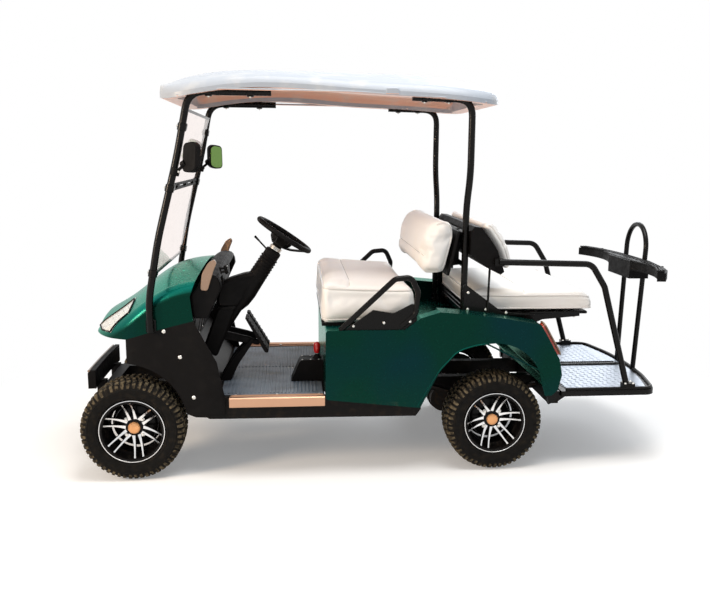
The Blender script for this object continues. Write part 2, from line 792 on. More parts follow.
# %% Bolts
HEX = [(math.cos(math.radians(60 * k)), math.sin(math.radians(60 * k))) for k in range(6)]


def bolt(bm, point, axis, size=6.0, tag=0):
    """A flanged hex head, size millimetres from centre to corner."""
    where = turn_frame(point, axis)
    turned(bm, where, [(size * 1.35, -1), (size * 1.35, 1), (size * 1.1, 2), (0.5, 2)], 20, tag)
    slab(bm, where, [(x * size, y * size) for x, y in HEX], 1.5, 1.5 + size * 0.75, size * 0.14, tag)


print("corners of a head:", len(HEX))

# %% [markdown]
# Every piece ends the same way: its normals are made to agree, its faces smooth
# and its edges crisp, it gets its finishes, and it is told which solid it rides
# with and whether it stands in that solid's place. These steps could follow each
# mesh by hand, but one of them would soon be forgotten, so one function does them
# all.

# %% Settling a piece
def settle(name, bm, finishes, node, replaces=False):
    """Makes a piece of a finished mesh that rides with a node, or replaces it."""
    bmesh.ops.recalc_face_normals(bm, faces=bm.faces)
    for face in bm.faces:
        face.smooth = True
    for edge in bm.edges:
        if len(edge.link_faces) == 2 and edge.calc_face_angle(0) > SHARP:
            edge.smooth = False
    mesh = bpy.data.meshes.new(name)
    bm.to_mesh(mesh)
    bm.free()
    for finish in finishes:
        mesh.materials.append(FINISH[finish])
    piece = bpy.data.objects.new(name, mesh)
    bpy.context.scene.collection.objects.link(piece)
    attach(piece, body_of[node])
    if replaces:
        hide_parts(node)
    print(name, "with", node + ":", len(mesh.polygons), "faces")
    return piece


print("bodies:", sorted(set(body_of.values())))

# %% [markdown]
# The tyres are turf tyres with blocky shoulders. Tread can be a bump, but from
# beside the cart its teeth make the outline of the tyre, so each block is real.
# Two staggered rows run down the middle, and one on each side wraps over the
# shoulder. Blocks end flush with the solid tyre's radius, so the wheel still
# touches the ground where it should.

# %% Tread blocks
# width and radius across half of the carcass, from the bead to the crown
CARCASS = [
    (80, 142), (82, 149), (88, 154), (91, 158), (92.8, 159), (93.4, 162), (92.2, 163), (95, 172),
    (96.8, 184), (96, 194), (97.2, 196), (96.6, 199), (94, 201), (91, 210), (85, 218), (77, 223),
    (60, 225.5), (30, 227), (8, 227.3),
]
# profile of a block as (width, radius), blocks around, share of the pitch, skew, phase
SHOULDER_BLOCK = [(44, 233.6), (66, 232.4), (80, 227.5), (90, 215), (93.6, 203)]
MIDDLE_BLOCK = [(4, 235), (20, 234.9), (37, 234.2)]
TREAD_ROWS = [
    (SHOULDER_BLOCK, 54, 0.62, 0.10, 0.0),
    (MIDDLE_BLOCK, 54, 0.58, -0.35, 0.5),
]
BLOCK_DEEP = 9.0
# share of a block's width where its top begins and ends
TOP_FROM, TOP_TO = 0.07, 0.93
END_TUCK, END_DROP = 0.08, 1.2


def tread_block(bm, frame_, profile, start, width, skew, side):
    """One block of tread: a short bent bar with chamfered shoulders."""
    rings = []
    last = len(profile) - 1
    for i, (wide, radius) in enumerate(profile):
        drift = skew * width * i / last
        tuck = END_TUCK if i in (0, last) else 0.0
        lift = END_DROP if i in (0, last) else 0.0
        ring = []
        edges = ((0.0, BLOCK_DEEP), (TOP_FROM + tuck, lift), (TOP_TO - tuck, lift), (1.0, BLOCK_DEEP))
        for share, drop in edges:
            angle = start + drift + share * width
            r = radius - drop
            spread = wide - (1.5 if drop == BLOCK_DEEP and wide > 70 else 0)
            ring.append(frame_ @ mm(r * math.cos(angle), r * math.sin(angle), side * spread))
        rings.append(ring)
    skin(bm, rings, tag=1)


print("blocks on a tyre:", 2 * sum(row[1] for row in TREAD_ROWS))

# %% [markdown]
# A tyre is a turned carcass with two fine moulded rings on its sidewall, and the
# rows of blocks above. Array modifiers along a curve are the usual way, but two
# loops place every block exactly and need no helper objects.

# %% Tyres
CORNERS = ["front_left", "front_right", "rear_left", "rear_right"]


def corner_frame(name):
    """The frame of one wheel, with its z outwards."""
    low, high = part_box("tyre_" + name)
    centre = (Vector(low) + Vector(high)) / 2
    return turn_frame(centre, (0, 1 if centre.y > 0 else -1, 0))


def tyre(name):
    """One tyre with its tread."""
    frame_ = corner_frame(name)
    bm = bmesh.new()
    profile = [(r, w) for w, r in CARCASS] + [(r, -w) for w, r in reversed(CARCASS)]
    turned(bm, frame_, profile, 108, ring=True)
    for block, count, share, skew, phase in TREAD_ROWS:
        pitch = 2 * math.pi / count
        for i in range(count):
            for side in (-1, 1):
                offset = phase * pitch if side > 0 else 0
                tread_block(bm, frame_, block, i * pitch + offset, share * pitch, skew * side, side)
    settle("tyre_tread_" + name, bm, ["tyre", "tread"], "tyre_" + name, replaces=True)


for corner in CORNERS:
    tyre(corner)

# %% [markdown]
# The wheels are black alloy with six pairs of slender spokes. Each spoke leaves a
# deep hub, bows up to the lip and ends in a small machined pad. Its front face is
# cut bright while its flanks stay black, which one mesh with a mask could show
# too. Two thin skins, one in each finish, give that edge for nothing.

# %% Spokes
SPOKE_PAIRS = 6
SPOKE_TURN = {"front_left": 11, "front_right": 30, "rear_left": -19, "rear_right": 5}
SPOKE_ROOT, SPOKE_END = 34, 138


def spoke_height(r):
    """Height of a spoke's face above the wheel's middle plane at a radius."""
    return 20 + 0.3636 * (r - 30) + 0.005264 * (r - 30) * (r - 96)


def spoke(bm, frame_, turn, lean):
    """One spoke, with a bright face and black flanks."""
    spin = Matrix.Rotation(math.radians(turn), 4, "Z")
    face_rings, flank_rings = [], []
    steps = 12
    for i in range(steps + 1):
        t = i / steps
        r = SPOKE_ROOT + (SPOKE_END - SPOKE_ROOT) * t
        middle = lean * (16 + 0.07 * (r - 83))
        wide = 8.5 - 4.2 * math.sin(math.pi * min(1, t * 1.25) / 2) + 1.6 * max(0, t - 0.85) / 0.15
        top = spoke_height(r)
        deep = 15 - 3 * t
        face = [
            (-wide + 1.1, top + 0.5), (wide - 1.1, top + 0.5),
            (wide - 0.4, top - 0.9), (-wide + 0.4, top - 0.9),
        ]
        flank = [(-wide, top - 0.4), (wide, top - 0.4), (wide + 1.2, top - deep), (-wide - 1.2, top - deep)]
        for outline, rings in ((face, face_rings), (flank, flank_rings)):
            rings.append([frame_ @ (spin @ mm(r, middle + y, z)) for y, z in outline])
    skin(bm, face_rings, tag=1)
    skin(bm, flank_rings, tag=0)
    end = frame_ @ (spin @ mm(SPOKE_END, lean * 19.8, spoke_height(SPOKE_END) + 1))
    pad = turn_frame(end, (frame_.to_3x3() @ spin.to_3x3()) @ Vector((-0.45, 0, 1)))
    turned(bm, pad, [(7.2, -6), (7.2, 0.6), (6, 1.8), (3, 2.4), (0.4, 2.5)], 16, tag=1)


print("height of a spoke at hub and lip:", [round(spoke_height(r), 1) for r in (SPOKE_ROOT, SPOKE_END)])

# %% [markdown]
# The rest of a wheel comes off a lathe: a barrel with a rolled lip, a hub with
# four nuts, a copper cap, and the brake drum that closes the view between the
# spokes. The hub sits some 60 mm behind the lip, which is what gives these wheels
# their dished look. Each wheel stopped at its own angle, so each has its own.

# %% Alloy wheels
# radius and height of the barrel's closed section
BARREL = [
    (148, 82.5), (148.4, 85), (147, 87.6), (142.5, 88), (134, 86.5), (131.5, 80), (130, 50), (117, 31),
    (116, 0), (116, -42), (130, -60), (132, -87), (148, -87), (148, -82.5), (142, -82), (142, -62),
    (124, -46), (124, 34), (142, 50), (142, 82),
]
HUB = [
    (30, -1), (58, 0), (60, 3), (60, 12), (56, 17), (50, 19), (40, 21), (34, 25), (30, 25.5), (8, 25.5),
]
CAP = [(29, 24), (28.5, 31), (26, 33.5), (24, 33.2), (22.5, 34.8), (14, 36.5), (0.5, 37.2)]
# the brake drum that closes the view between the spokes
DRUM = [
    (12, -14), (88, -18), (98, -24), (100, -32), (100, -62), (114, -66), (115.5, -72), (115.5, -78),
    (12, -80),
]
LIP_EDGE = [(147.4, 86.6), (146.6, 88.4), (143.6, 88.7), (142.8, 87.4)]
LUG_CIRCLE = 50.8
LUGS = 4


def wheel(name):
    """One alloy wheel with its drum, nuts and valve."""
    frame_ = corner_frame(name)
    bm = bmesh.new()
    turned(bm, frame_, BARREL, 72, ring=True)
    turned(bm, frame_, LIP_EDGE, 72, tag=1, ring=True)
    turned(bm, frame_, HUB, 48)
    turned(bm, frame_, CAP, 36, tag=2)
    turned(bm, frame_, DRUM, 48)
    for i in range(LUGS):
        angle = 2 * math.pi * (i + 0.5) / LUGS
        nut = frame_ @ mm(LUG_CIRCLE * math.cos(angle), LUG_CIRCLE * math.sin(angle), 18)
        bolt(bm, nut, frame_.col[2].xyz, 8.0, tag=3)
    for i in range(SPOKE_PAIRS):
        for lean in (-1, 1):
            spoke(bm, frame_, SPOKE_TURN[name] + i * 360 / SPOKE_PAIRS, lean)
    rod(bm, [frame_ @ mm(134, 0, 62), frame_ @ mm(127, 0, 84)], 3.2, 10)
    settle(
        "wheel_face_" + name, bm, ["rim", "silver", "copper", "zinc"], "rim_" + name, replaces=True,
    )


for corner in CORNERS:
    wheel(corner)

# %% [markdown]
# A cushion is foam in a sewn skin, so it is nowhere flat: its faces crown, its
# sides pull in between the corners and its seams sit in shallow valleys. A
# subdivided box only looks soft at its edges. A cloth simulation makes the rest:
# a closed form is remeshed into even quads, air pressure swells it for twenty
# frames, and no point may travel further than the foam would let it. The
# underside is pinned, because it rests on a board.

# %% Inflating a pad
CLOTH_FRAMES = 20
AIR_PRESSURE = 4.0


def applied(piece):
    """Bakes a piece's modifiers into its mesh."""
    evaluated = piece.evaluated_get(bpy.context.evaluated_depsgraph_get())
    mesh = bpy.data.meshes.new_from_object(evaluated)
    piece.modifiers.clear()
    piece.data = mesh


def inflated(bm, voxel, cap, resting):
    """A mesh in metres, remeshed, swollen by at most cap and subdivided once."""
    bmesh.ops.recalc_face_normals(bm, faces=bm.faces)
    mesh = bpy.data.meshes.new("pad")
    bm.to_mesh(mesh)
    bm.free()
    pad = bpy.data.objects.new("pad", mesh)
    bpy.context.scene.collection.objects.link(pad)
    remesh = pad.modifiers.new("Remesh", "REMESH")
    remesh.mode = "VOXEL"
    remesh.voxel_size = voxel
    applied(pad)
    start = [vertex.co.copy() for vertex in pad.data.vertices]
    pinned = pad.vertex_groups.new(name="resting")
    pinned.add([i for i, point in enumerate(start) if resting(point)], 1.0, "REPLACE")
    cloth = pad.modifiers.new("Cloth", "CLOTH")
    cloth.settings.quality = 4
    cloth.settings.use_pressure = True
    cloth.settings.uniform_pressure_force = AIR_PRESSURE
    cloth.settings.effector_weights.gravity = 0
    cloth.settings.vertex_group_mass = pinned.name
    cloth.point_cache.frame_end = CLOTH_FRAMES
    for step in range(1, CLOTH_FRAMES + 1):
        bpy.context.scene.frame_set(step)
    applied(pad)
    bpy.context.scene.frame_set(1)
    for vertex, before in zip(pad.data.vertices, start):
        move = vertex.co - before
        if move.length > cap:
            vertex.co = before + move.normalized() * cap
    smooth = pad.modifiers.new("Smooth", "SUBSURF")
    smooth.levels = 1
    applied(pad)
    out = bmesh.new()
    out.from_mesh(pad.data)
    bpy.data.objects.remove(pad)
    out.normal_update()
    return out


print("air pressure:", AIR_PRESSURE, "for", CLOTH_FRAMES, "frames")

# %% [markdown]
# Seams come after the simulation, since a remesh would swallow them. Each seam is
# a path laid on the skin. The skin is pressed in beside it, and a round cord of
# piping is sewn along the panel edges, or a flat stitch where two channels meet.
# Sewing springs could pull real panels together, but they take far longer and
# land less surely where the seam belongs.

# %% Seams and piping
PIPING_R = 4.2
THREAD_R = 1.3
SEAM_STEP = 0.012


def resampled(path, closed):
    """Points along a path at even short steps."""
    out = []
    ends = list(zip(path, path[1:] + path[:1])) if closed else list(zip(path, path[1:]))
    for a, b in ends:
        count = max(1, round((b - a).length / SEAM_STEP))
        out += [a.lerp(b, i / count) for i in range(count)]
    return out if closed else out + [path[-1]]


def on_skin(tree, point, lift):
    """The nearest point of a skin, lifted off it."""
    spot, normal, _, _ = tree.find_nearest(point)
    return spot + normal * lift


def sew(bm, path, closed=True, depth=0.004, width=0.009, piping=True):
    """Presses a valley along a path and lays piping in it, or a stitched channel."""
    points = [on_skin(BVHTree.FromBMesh(bm), p, 0) for p in resampled(path, closed)]
    near = KDTree(len(points))
    for i, point in enumerate(points):
        near.insert(point, i)
    near.balance()
    bm.normal_update()
    reach = width * 3
    low = [min(p[k] for p in points) - reach for k in range(3)]
    high = [max(p[k] for p in points) + reach for k in range(3)]
    for vertex in bm.verts:
        if all(low[k] < vertex.co[k] < high[k] for k in range(3)):
            away = near.find(vertex.co)[2]
            if away < reach:
                vertex.co -= vertex.normal * depth * math.exp(-((away / width) ** 2))
    bm.normal_update()
    tree = BVHTree.FromBMesh(bm)
    radius = PIPING_R if piping else THREAD_R
    line = [on_skin(tree, point, radius * MILLIMETRE * (0.35 if piping else 0.1)) for point in points]
    for _ in range(3):
        ends = (line[-1], line[0]) if closed else (line[0], line[-1])
        line = [(a + b * 2 + c) / 4 for a, b, c in zip([ends[0]] + line, line, line[1:] + [ends[1]])]
    rod(bm, line, radius, 8, tag=1 if piping else 2, closed=closed)


def cushion(name, node, shape, voxel, cap, resting, seams):
    """One sewn cushion in place of its plain solid."""
    bm = inflated(shape, voxel, cap, resting)
    for path, options in seams:
        sew(bm, path, **options)
    piece = settle(name, bm, ["vinyl", "piping", "thread"], node, replaces=True)


CHANNEL = {"closed": False, "depth": 0.006, "piping": False}
print("piping:", PIPING_R, "mm, thread:", THREAD_R, "mm")

# %% [markdown]
# All four cushions run right across the cart and have one side view. A scaled box
# would give each of them square ends and no shoulder. So a cushion starts as that
# side view with a width, which is also how an upholsterer marks out foam.

# %% Seat outlines
SIDE = Matrix.Translation(at(0, 0, 0)) @ Matrix(((1, 0, 0), (0, 0, 1), (0, -1, 0))).transposed().to_4x4()
PLAN = Matrix.Translation(at(0, 0, 0))


def across(outline, half, edge, inside=0.0):
    """A closed form as wide as the seat, from a side view in millimetres."""
    bm = bmesh.new()
    drawn = inset(outline, inside) if inside else outline
    slab(bm, SIDE, drawn, -half + inside, half - inside, edge)
    return bm


def around(x_low, x_high, half, z, corner):
    """A rounded rectangle seen from above, as a path at one height."""
    plan = [(x_low, -half), (x_high, -half), (x_high, half), (x_low, half)]
    return [at(p.x, p.y, z) for p in rounded(plan, corner, 5)]


print("side view looks along:", SIDE.col[2].xyz[:])

# %% [markdown]
# The front bench is a wide box cushion. Its front edge is a separate roll, with a
# seam across the bench behind it, and its front face reaches down over the edge
# of the lid that it lies on. It could be two cushions, but one with a sewn
# channel is how the real one is made.

# %% Front bench
BENCH_HALF = 490
BENCH_REST = 0.732
BENCH_SIDE = [(12, 699), (3, 800), (2, 898), (40, 912), (468, 882), (476, 713)]
shape = across(rounded(BENCH_SIDE, 40), BENCH_HALF, 22, 10)
cushion(
    "front_bench", "front_seat_cushion", shape, voxel=0.013, cap=0.014,
    resting=lambda p: p.z < BENCH_REST,
    seams=[
        (around(10, 466, BENCH_HALF - 6, 880, 46), {}),
        ([at(150, y, 912) for y in (-470, -235, 0, 235, 470)], CHANNEL),
        (around(16, 470, BENCH_HALF - 8, 722, 30), {"depth": 0.002}),
    ],
)

# %% [markdown]
# The front backrest is fuller than the bench. Seen from the side it is almost an
# egg: thin at the foot, thick at the shoulder. It is bolted to a black moulded
# shell, so the side towards the shell stays flat, and that side is what the
# simulation pins.

# %% Front backrest
BACK_HALF = 460
BACK_SIDE = [
    (505, 922), (482, 962), (500, 1110), (542, 1186), (590, 1206), (650, 1188), (658, 1140), (606, 924),
]
BACK_END_SEAM = [(604, 932), (632, 1040), (652, 1130), (646, 1180), (592, 1198), (548, 1178)]


def on_shell(point):
    """Whether a point of the backrest lies against its moulded shell."""
    return (point.x - at(606, 0, 0).x) > (point.z - 0.924) * 0.24 - 0.018 and point.z < 1.12


shape = across(rounded(BACK_SIDE, 60), BACK_HALF, 34, 10)
cushion(
    "front_backrest", "front_seat_back", shape, voxel=0.013, cap=0.016, resting=on_shell,
    seams=[
        ([at(486, y, 1030) for y in (-430, -215, 0, 215, 430)], CHANNEL),
        ([at(x, -440, z) for x, z in BACK_END_SEAM], {"closed": False, "depth": 0.003}),
        ([at(x, 440, z) for x, z in BACK_END_SEAM], {"closed": False, "depth": 0.003}),
    ],
)

# %% [markdown]
# The rear bench faces backwards, and its backrest leans against a shell of its
# own. It is the same kind of pad with another side view, so only the outline, the
# pinned side and the seams are new.

# %% Rear backrest
REAR_BACK_SIDE = [
    (772, 1160), (790, 1190), (828, 1185), (896, 1090), (930, 990), (922, 952), (886, 952), (848, 1056),
    (812, 1108),
]
REAR_END_SEAM = [(918, 958), (924, 992), (892, 1086), (826, 1178), (794, 1184)]


def on_rear_shell(point):
    """Whether a point of the rear backrest lies against its shell."""
    away = Vector((point.x, point.z)) - Vector((at(880, 0, 0).x, 0.952))
    return away.dot(Vector((0.88, 0.48))) < 0.012


shape = across(rounded(REAR_BACK_SIDE, 28), BACK_HALF, 24, 6)
cushion(
    "rear_backrest", "rear_seat_back", shape, voxel=0.012, cap=0.010, resting=on_rear_shell,
    seams=[
        ([at(x, -448, z) for x, z in REAR_END_SEAM], {"closed": False, "depth": 0.003}),
        ([at(898, y, 1082) for y in (-440, -220, 0, 220, 440)], {**CHANNEL, "depth": 0.005}),
    ],
)

# %% [markdown]
# The rear bench is a plain box cushion with piping round its top panel and round
# its underside, and one seam across it. Piping is a cord of its own here, since
# it catches the light as a line that a crease can't give.

# %% Rear bench
REAR_HALF = 445
REAR_REST = 0.768
REAR_SIDE = [(724, 752), (724, 858), (1296, 852), (1350, 828), (1354, 752)]
shape = across(rounded(REAR_SIDE, 30), REAR_HALF, 18, 8)
cushion(
    "rear_bench", "rear_seat_cushion", shape, voxel=0.014, cap=0.013,
    resting=lambda p: p.z < REAR_REST,
    seams=[
        (around(730, 1346, REAR_HALF - 5, 838, 44), {}),
        ([at(1000, y, 860) for y in (-425, -212, 0, 212, 425)], CHANNEL),
        (around(730, 1350, REAR_HALF - 6, 760, 30), {"depth": 0.002}),
    ],
)

# %% [markdown]
# Most trim is flat stock that is seen from the side. A box with a bevel modifier
# would do for straight bars, but not for a bent bracket. So one helper makes a
# plate from a side view between two widths, and another makes a bar between two
# corners, both with a small chamfer on their rims.

# %% Plates and bars
def side_plate(bm, outline, y_low, y_high, edge=1.5, tag=0):
    """A plate drawn in a side view, between two widths in millimetres."""
    slab(bm, SIDE, outline, -y_high, -y_low, edge, tag)


def sided(side, inner, outer):
    """Two widths on one side of the cart, the lower one first."""
    return sorted((side * inner, side * outer))


def box_bar(bm, low, high, edge=1.0, tag=0):
    """A straight bar between two corners in millimetres, with bevelled rims."""
    plan = [(low[0], low[1]), (high[0], low[1]), (high[0], high[1]), (low[0], high[1])]
    slab(bm, PLAN, plan, low[2], high[2], edge, tag)


print("widths of a plate on the driver's side:", sided(-1, 500, 524))

# %% [markdown]
# Rivets and screws sit on curved panels. Their height above the panel could be
# guessed and nudged until nothing floats. A ray shot at the panel gives both the
# place and the way that the panel faces.

# %% Places found by ray
def surface_of(*names):
    """A tree of the faces of some nodes, for finding places on them."""
    bm = bmesh.new()
    for name in names:
        bm.from_mesh(nodes[name].data)
    tree = BVHTree.FromBMesh(bm)
    bm.free()
    return tree


def shot(tree, start, way):
    """Where a ray from start meets the surface, with the surface's normal."""
    spot, normal, _, _ = tree.ray_cast(start, Vector(way))
    return spot, normal


def box_in_mm(name):
    """The two corners of the box round a node, in millimetres."""
    return [in_mm(corner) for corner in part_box(name)]


print("roof:", [[round(v) for v in corner] for corner in box_in_mm("roof")], "mm")

# %% [markdown]
# The dash is one black moulding under the windscreen, and its top follows the
# arch of the cowl. It could be cut from a block, but a skin over nine
# cross-sections gives the arch directly. Only its sharp edges are then softened,
# as a mould would leave them.

# %% Dash body
DASH_HALF = 498
DASH_STATIONS = [-DASH_HALF, -490, -330, -160, 0, 160, 330, 490, DASH_HALF]
DASH_SOFT = 0.005


def dash_ring(y):
    """The outline of the dash at one width."""
    crown = 928 + 38 * (1 - (y / 532) ** 2)
    outline = [
        (-560, 744), (-570, 850), (-536, crown - 40), (-512, crown + 4), (-478, crown + 12),
        (-452, crown + 2), (-440, crown - 26), (-437, 880), (-500, 744),
    ]
    return [at(x, y, z) for x, z in outline]


bm = bmesh.new()
skin(bm, [dash_ring(y) for y in DASH_STATIONS])
bmesh.ops.recalc_face_normals(bm, faces=bm.faces)
bmesh.ops.bevel(
    bm, geom=[e for e in bm.edges if len(e.link_faces) == 2 and e.calc_face_angle(0) > SHARP],
    offset=DASH_SOFT, segments=2, affect="EDGES",
)
print("dash body:", len(bm.faces), "faces")

# %% [markdown]
# Two open bins are cut into the dash, a wide one for the passenger and a small
# one by the driver. Building the opening into the skin would split every
# cross-section, so this is the place for a Boolean modifier: a rounded plug is
# taken out of the body, and the plug is thrown away.

# %% Storage bins
def object_of(name, bm):
    """A plain object of a mesh, for a modifier to work on."""
    mesh = bpy.data.meshes.new(name)
    bm.to_mesh(mesh)
    bm.free()
    made = bpy.data.objects.new(name, mesh)
    bpy.context.scene.collection.objects.link(made)
    return made


BINS = [(60, 440), (-440, -350)]
BIN_SIDE = [(-540, 806), (-520, 925), (-400, 925), (-400, 806)]
body = object_of("dash_body", bm)
bm = bmesh.new()
for low, high in BINS:
    side_plate(bm, rounded(BIN_SIDE, 14), low, high, 6)
plugs = object_of("bins", bm)
cut = body.modifiers.new("Bins", "BOOLEAN")
cut.operation = "DIFFERENCE"
cut.solver = "EXACT"
cut.object = plugs
applied(body)
bm = bmesh.new()
bm.from_mesh(body.data)
bpy.data.objects.remove(body)
bpy.data.objects.remove(plugs)
print("dash with its bins:", len(bm.faces), "faces")

# %% [markdown]
# A tan cheek closes each end of the dash. Two black pull knobs, a key switch and
# a charge gauge stand on its face. They could be plain cylinders, but a knob is
# known by its waist and its domed end, so each is turned from a profile.

# %% Dash cheeks and knobs
CHEEK = [(-528, 876), (-519, 950), (-490, 1000), (-462, 1016), (-452, 1000), (-468, 962), (-496, 872)]
PULL_KNOB = [(9, -4), (9, 2), (5, 4), (5, 15), (11, 17), (13, 22), (12, 29), (7, 32), (0.5, 32.5)]
for side in (-1, 1):
    side_plate(bm, rounded(CHEEK, 12), *sided(side, DASH_HALF - 2, DASH_HALF + 8), 1.5, 1)
for y, z in ((-462, 968), (-418, 946)):
    turned(bm, turn_frame(at(-440, y, z), (1, 0, 0.15)), PULL_KNOB, 24)
for y, size in ((-180, 15), (-140, 11)):
    dial = [(size, -2), (size, 3), (size - 2, 5), (size - 4, 5), (size - 4, 3), (0.5, 3)]
    turned(bm, turn_frame(at(-438, y, 930), (1, 0, 0.05)), dial, 28, 2)
box_bar(bm, (-446, -110, 912), (-432, -66, 940), 2, 0)
settle("dash", bm, ["trim_black", "tan", "zinc"], "dash_panel", replaces=True)

# %% [markdown]
# The steering wheel is a soft rim with finger grips on its inner side. A torus
# with a texture would do from far away. Here the grips are a ripple in the radius
# of the tube, so that they show in its outline too.

# %% Steering wheel rim
WHEEL_TILT = math.radians(33.3)
STEER_AXIS = (math.sin(WHEEL_TILT), 0, math.cos(WHEEL_TILT))
STEER_HUB = at(-152, -280, 1106)
RIM_R, GRIP_R = 137.0, 12.6
steer = turn_frame(STEER_HUB, STEER_AXIS, (0, 1, 0))
GRIP_STEPS, GRIPS, GRIP_DEEP = 144, 36, 1.6
bm = bmesh.new()
rings = []
for i in range(GRIP_STEPS):
    turn = 2 * math.pi * i / GRIP_STEPS
    ring = []
    for k in range(14):
        roll = 2 * math.pi * k / 14
        inner = max(0, -math.cos(roll))
        tube = GRIP_R - GRIP_DEEP * inner * (0.5 + 0.5 * math.cos(turn * GRIPS))
        r = RIM_R + tube * math.cos(roll)
        ring.append(steer @ mm(r * math.cos(turn), r * math.sin(turn), tube * math.sin(roll)))
    rings.append(ring)
skin(bm, rings, closed=True)
print("rim:", 2 * (RIM_R + GRIP_R), "mm across")

# %% [markdown]
# Three wide spokes fall from the rim to a boss well below it, which makes a cone
# when seen from the side. Flat spokes would be quicker, but then the wheel would
# lose that cone. Each spoke is a skin over six cross-sections that is spun to its
# place, and the boss is turned.

# %% Steering wheel spider
# radius, height and half width of a spoke
SPIDER = [(134, -4, 30), (118, -13, 26), (92, -28, 24), (64, -42, 24), (36, -50, 26), (16, -52, 26)]
for turn in (0, 180, 270):
    spin = Matrix.Rotation(math.radians(turn), 4, "Z")
    rings = []
    for r, height, wide in SPIDER:
        lip = [(-wide, -2), (-wide + 3, 1), (wide - 3, 1), (wide, -2), (wide - 2, -7), (-wide + 2, -7)]
        rings.append([steer @ (spin @ mm(r, y, height + z)) for y, z in lip])
    skin(bm, rings)
BOSS = [(33, -59), (40, -52), (54, -36), (58, -22), (54, -12), (40, -6), (20, -3.5), (0.5, -3)]
turned(bm, steer, BOSS, 40)
turned(bm, steer, [(24, -3.5), (22, -1.5), (0.5, -1)], 32, 1)
settle("steering_rim", bm, ["trim_black", "tube_black"], "steering_wheel", replaces=True)

# %% [markdown]
# Under the wheel the column has a bright tilt collar, a ribbed rubber boot and
# the lever that lets the tilt go. Rings turned one by one stay separate, as the
# real ones are, so they need no texture to be told apart.

# %% Column trim
COLLAR_R, BOOT_FOLDS, BOOT_PITCH = 23, 9, 15
bm = bmesh.new()
for depth in (68, 74, 80):
    collar = [(COLLAR_R, -depth), (30.5, -depth - 1), (30.5, -depth - 4), (COLLAR_R, -depth - 5)]
    turned(bm, steer, collar, 36, 1, ring=True)
turned(bm, steer, [(25, -86), (36, -90), (39, -98), (39, -112), (34, -118), (25, -118)], 36, 0, ring=True)
for i in range(BOOT_FOLDS):
    depth = 128 + i * BOOT_PITCH
    turned(bm, steer, [(39, -depth), (43, -depth - 3), (43, -depth - 7), (39, -depth - 10)], 36, 0, ring=True)
lever_root = steer @ mm(0, 36, -102)
lever_tip = steer @ mm(20, 112, -84)
rod(bm, [lever_root, lever_root.lerp(lever_tip, 0.6), lever_tip], [4, 4, 6], 12)
settle("column_trim", bm, ["trim_black", "zinc"], "steering_column")

# %% [markdown]
# The direction lever is a red grip on a steel stem, in a small black gate. A ball
# on a cylinder would say the same from far away. The real grip is longer than it
# is wide and tapers to its stem, so all three are turned on one axis from
# profiles of their own.

# %% Direction lever
GRIP = [(8, 24), (13, 27), (16, 40), (17.5, 58), (16.5, 70), (12, 78), (5, 81.5), (0.4, 82)]
bm = bmesh.new()
gate = turn_frame(at(2, -235, 490), (0, 0, 1))
turned(bm, gate, [(24, 0), (24, 3), (20, 6), (13, 14), (9, 20), (6, 21)], 32, 0)
turned(bm, gate, [(6, 6), (6, 30), (3, 31)], 20, 2)
turned(bm, gate, GRIP, 32, 1)
settle("lever_grip", bm, ["trim_black", "knob", "zinc"], "shift_lever", replaces=True)

# %% [markdown]
# The lever comes up through a thin plate that is screwed down with six small
# bolts. The plate lies a hair above the console, since two faces in one plane
# flicker when they are drawn.

# %% Console plate
bm = bmesh.new()
for x in (-70, -30, 10):
    for y in (-278, -192):
        bolt(bm, at(x, y, 489), (0, 0, 1), 4)
box_bar(bm, (-72, -284, 488), (26, -186, 491.5), 1, 1)
settle("console_plate", bm, ["zinc", "trim_black"], "shift_console")

# %% [markdown]
# Two mirrors stand on the front tubes. Each is a rounded shell on a short arm,
# with a glass set into the face that looks back at the driver. The glass could be
# a part of the shell with its own finish, but a thin plate of its own, just proud
# of the shell, gets the fine rim that a real one has.

# %% Mirrors
MIRROR_OUTLINE = [(-64, -46), (58, -40), (66, 20), (50, 44), (-52, 42), (-68, 8)]
MIRROR_TURN = math.radians(50)
MIRROR_WIDE, MIRROR_HIGH = 541, 1466
NECK = [(15, -6), (15, 10), (11, 16), (7, 18)]
bm = bmesh.new()
for side in (-1, 1):
    looks = Vector((math.cos(MIRROR_TURN), -side * math.sin(MIRROR_TURN), -0.05))
    head = turn_frame(at(-541, side * MIRROR_WIDE, MIRROR_HIGH), looks)
    slab(bm, head, rounded(MIRROR_OUTLINE, 22), -20, 12, 5, 0)
    slab(bm, head, rounded(inset(rounded(MIRROR_OUTLINE, 22), 7), 4), 11.5, 13.5, 0.8, 1)
    turned(bm, turn_frame(at(-578, side * 532, 1438), (-1, -side * 0.4, -0.7)), NECK, 24)
    arm = [at(-560, side * 534, 1446), at(-592, side * 526, 1420), at(-612, side * 515, 1404)]
    rod(bm, bent(arm, 12), 7, 14)
    clamp = turn_frame(at(-620, side * 511, 1402), (0.26, 0, 1))
    turned(bm, clamp, [(20, -15), (20, 15), (17, 17), (17, -17)], 28, ring=True)
    bolt(bm, at(-603, side * 524, 1402), (0.6, side * 0.8, 0), 4.5, 2)
settle("mirror_heads", bm, ["trim_black", "mirror", "zinc"], "mirrors", replaces=True)

# %% [markdown]
# The canopy stands on four bent tubes. The front pair leans in towards the top
# and folds back under the roof. A Bezier curve would make the bends, but its
# radius is hard to read off. Here a route of straight legs is written in the
# tube's own leaning plane, and one bend radius serves all corners.

# %% Route of the front tubes
STRUT_R = 16.0
FOOT_WIDE, FOOT_HIGH = 533, 690
STRUT_LEAN = math.radians(2.3)
BEND_R = 75.0
# station and height above the foot, along the tube
FRONT_ROUTE = [(-748, 0), (-752, 140), (-705, 410), (-612, 776), (-556, 1058), (-200, 1060)]


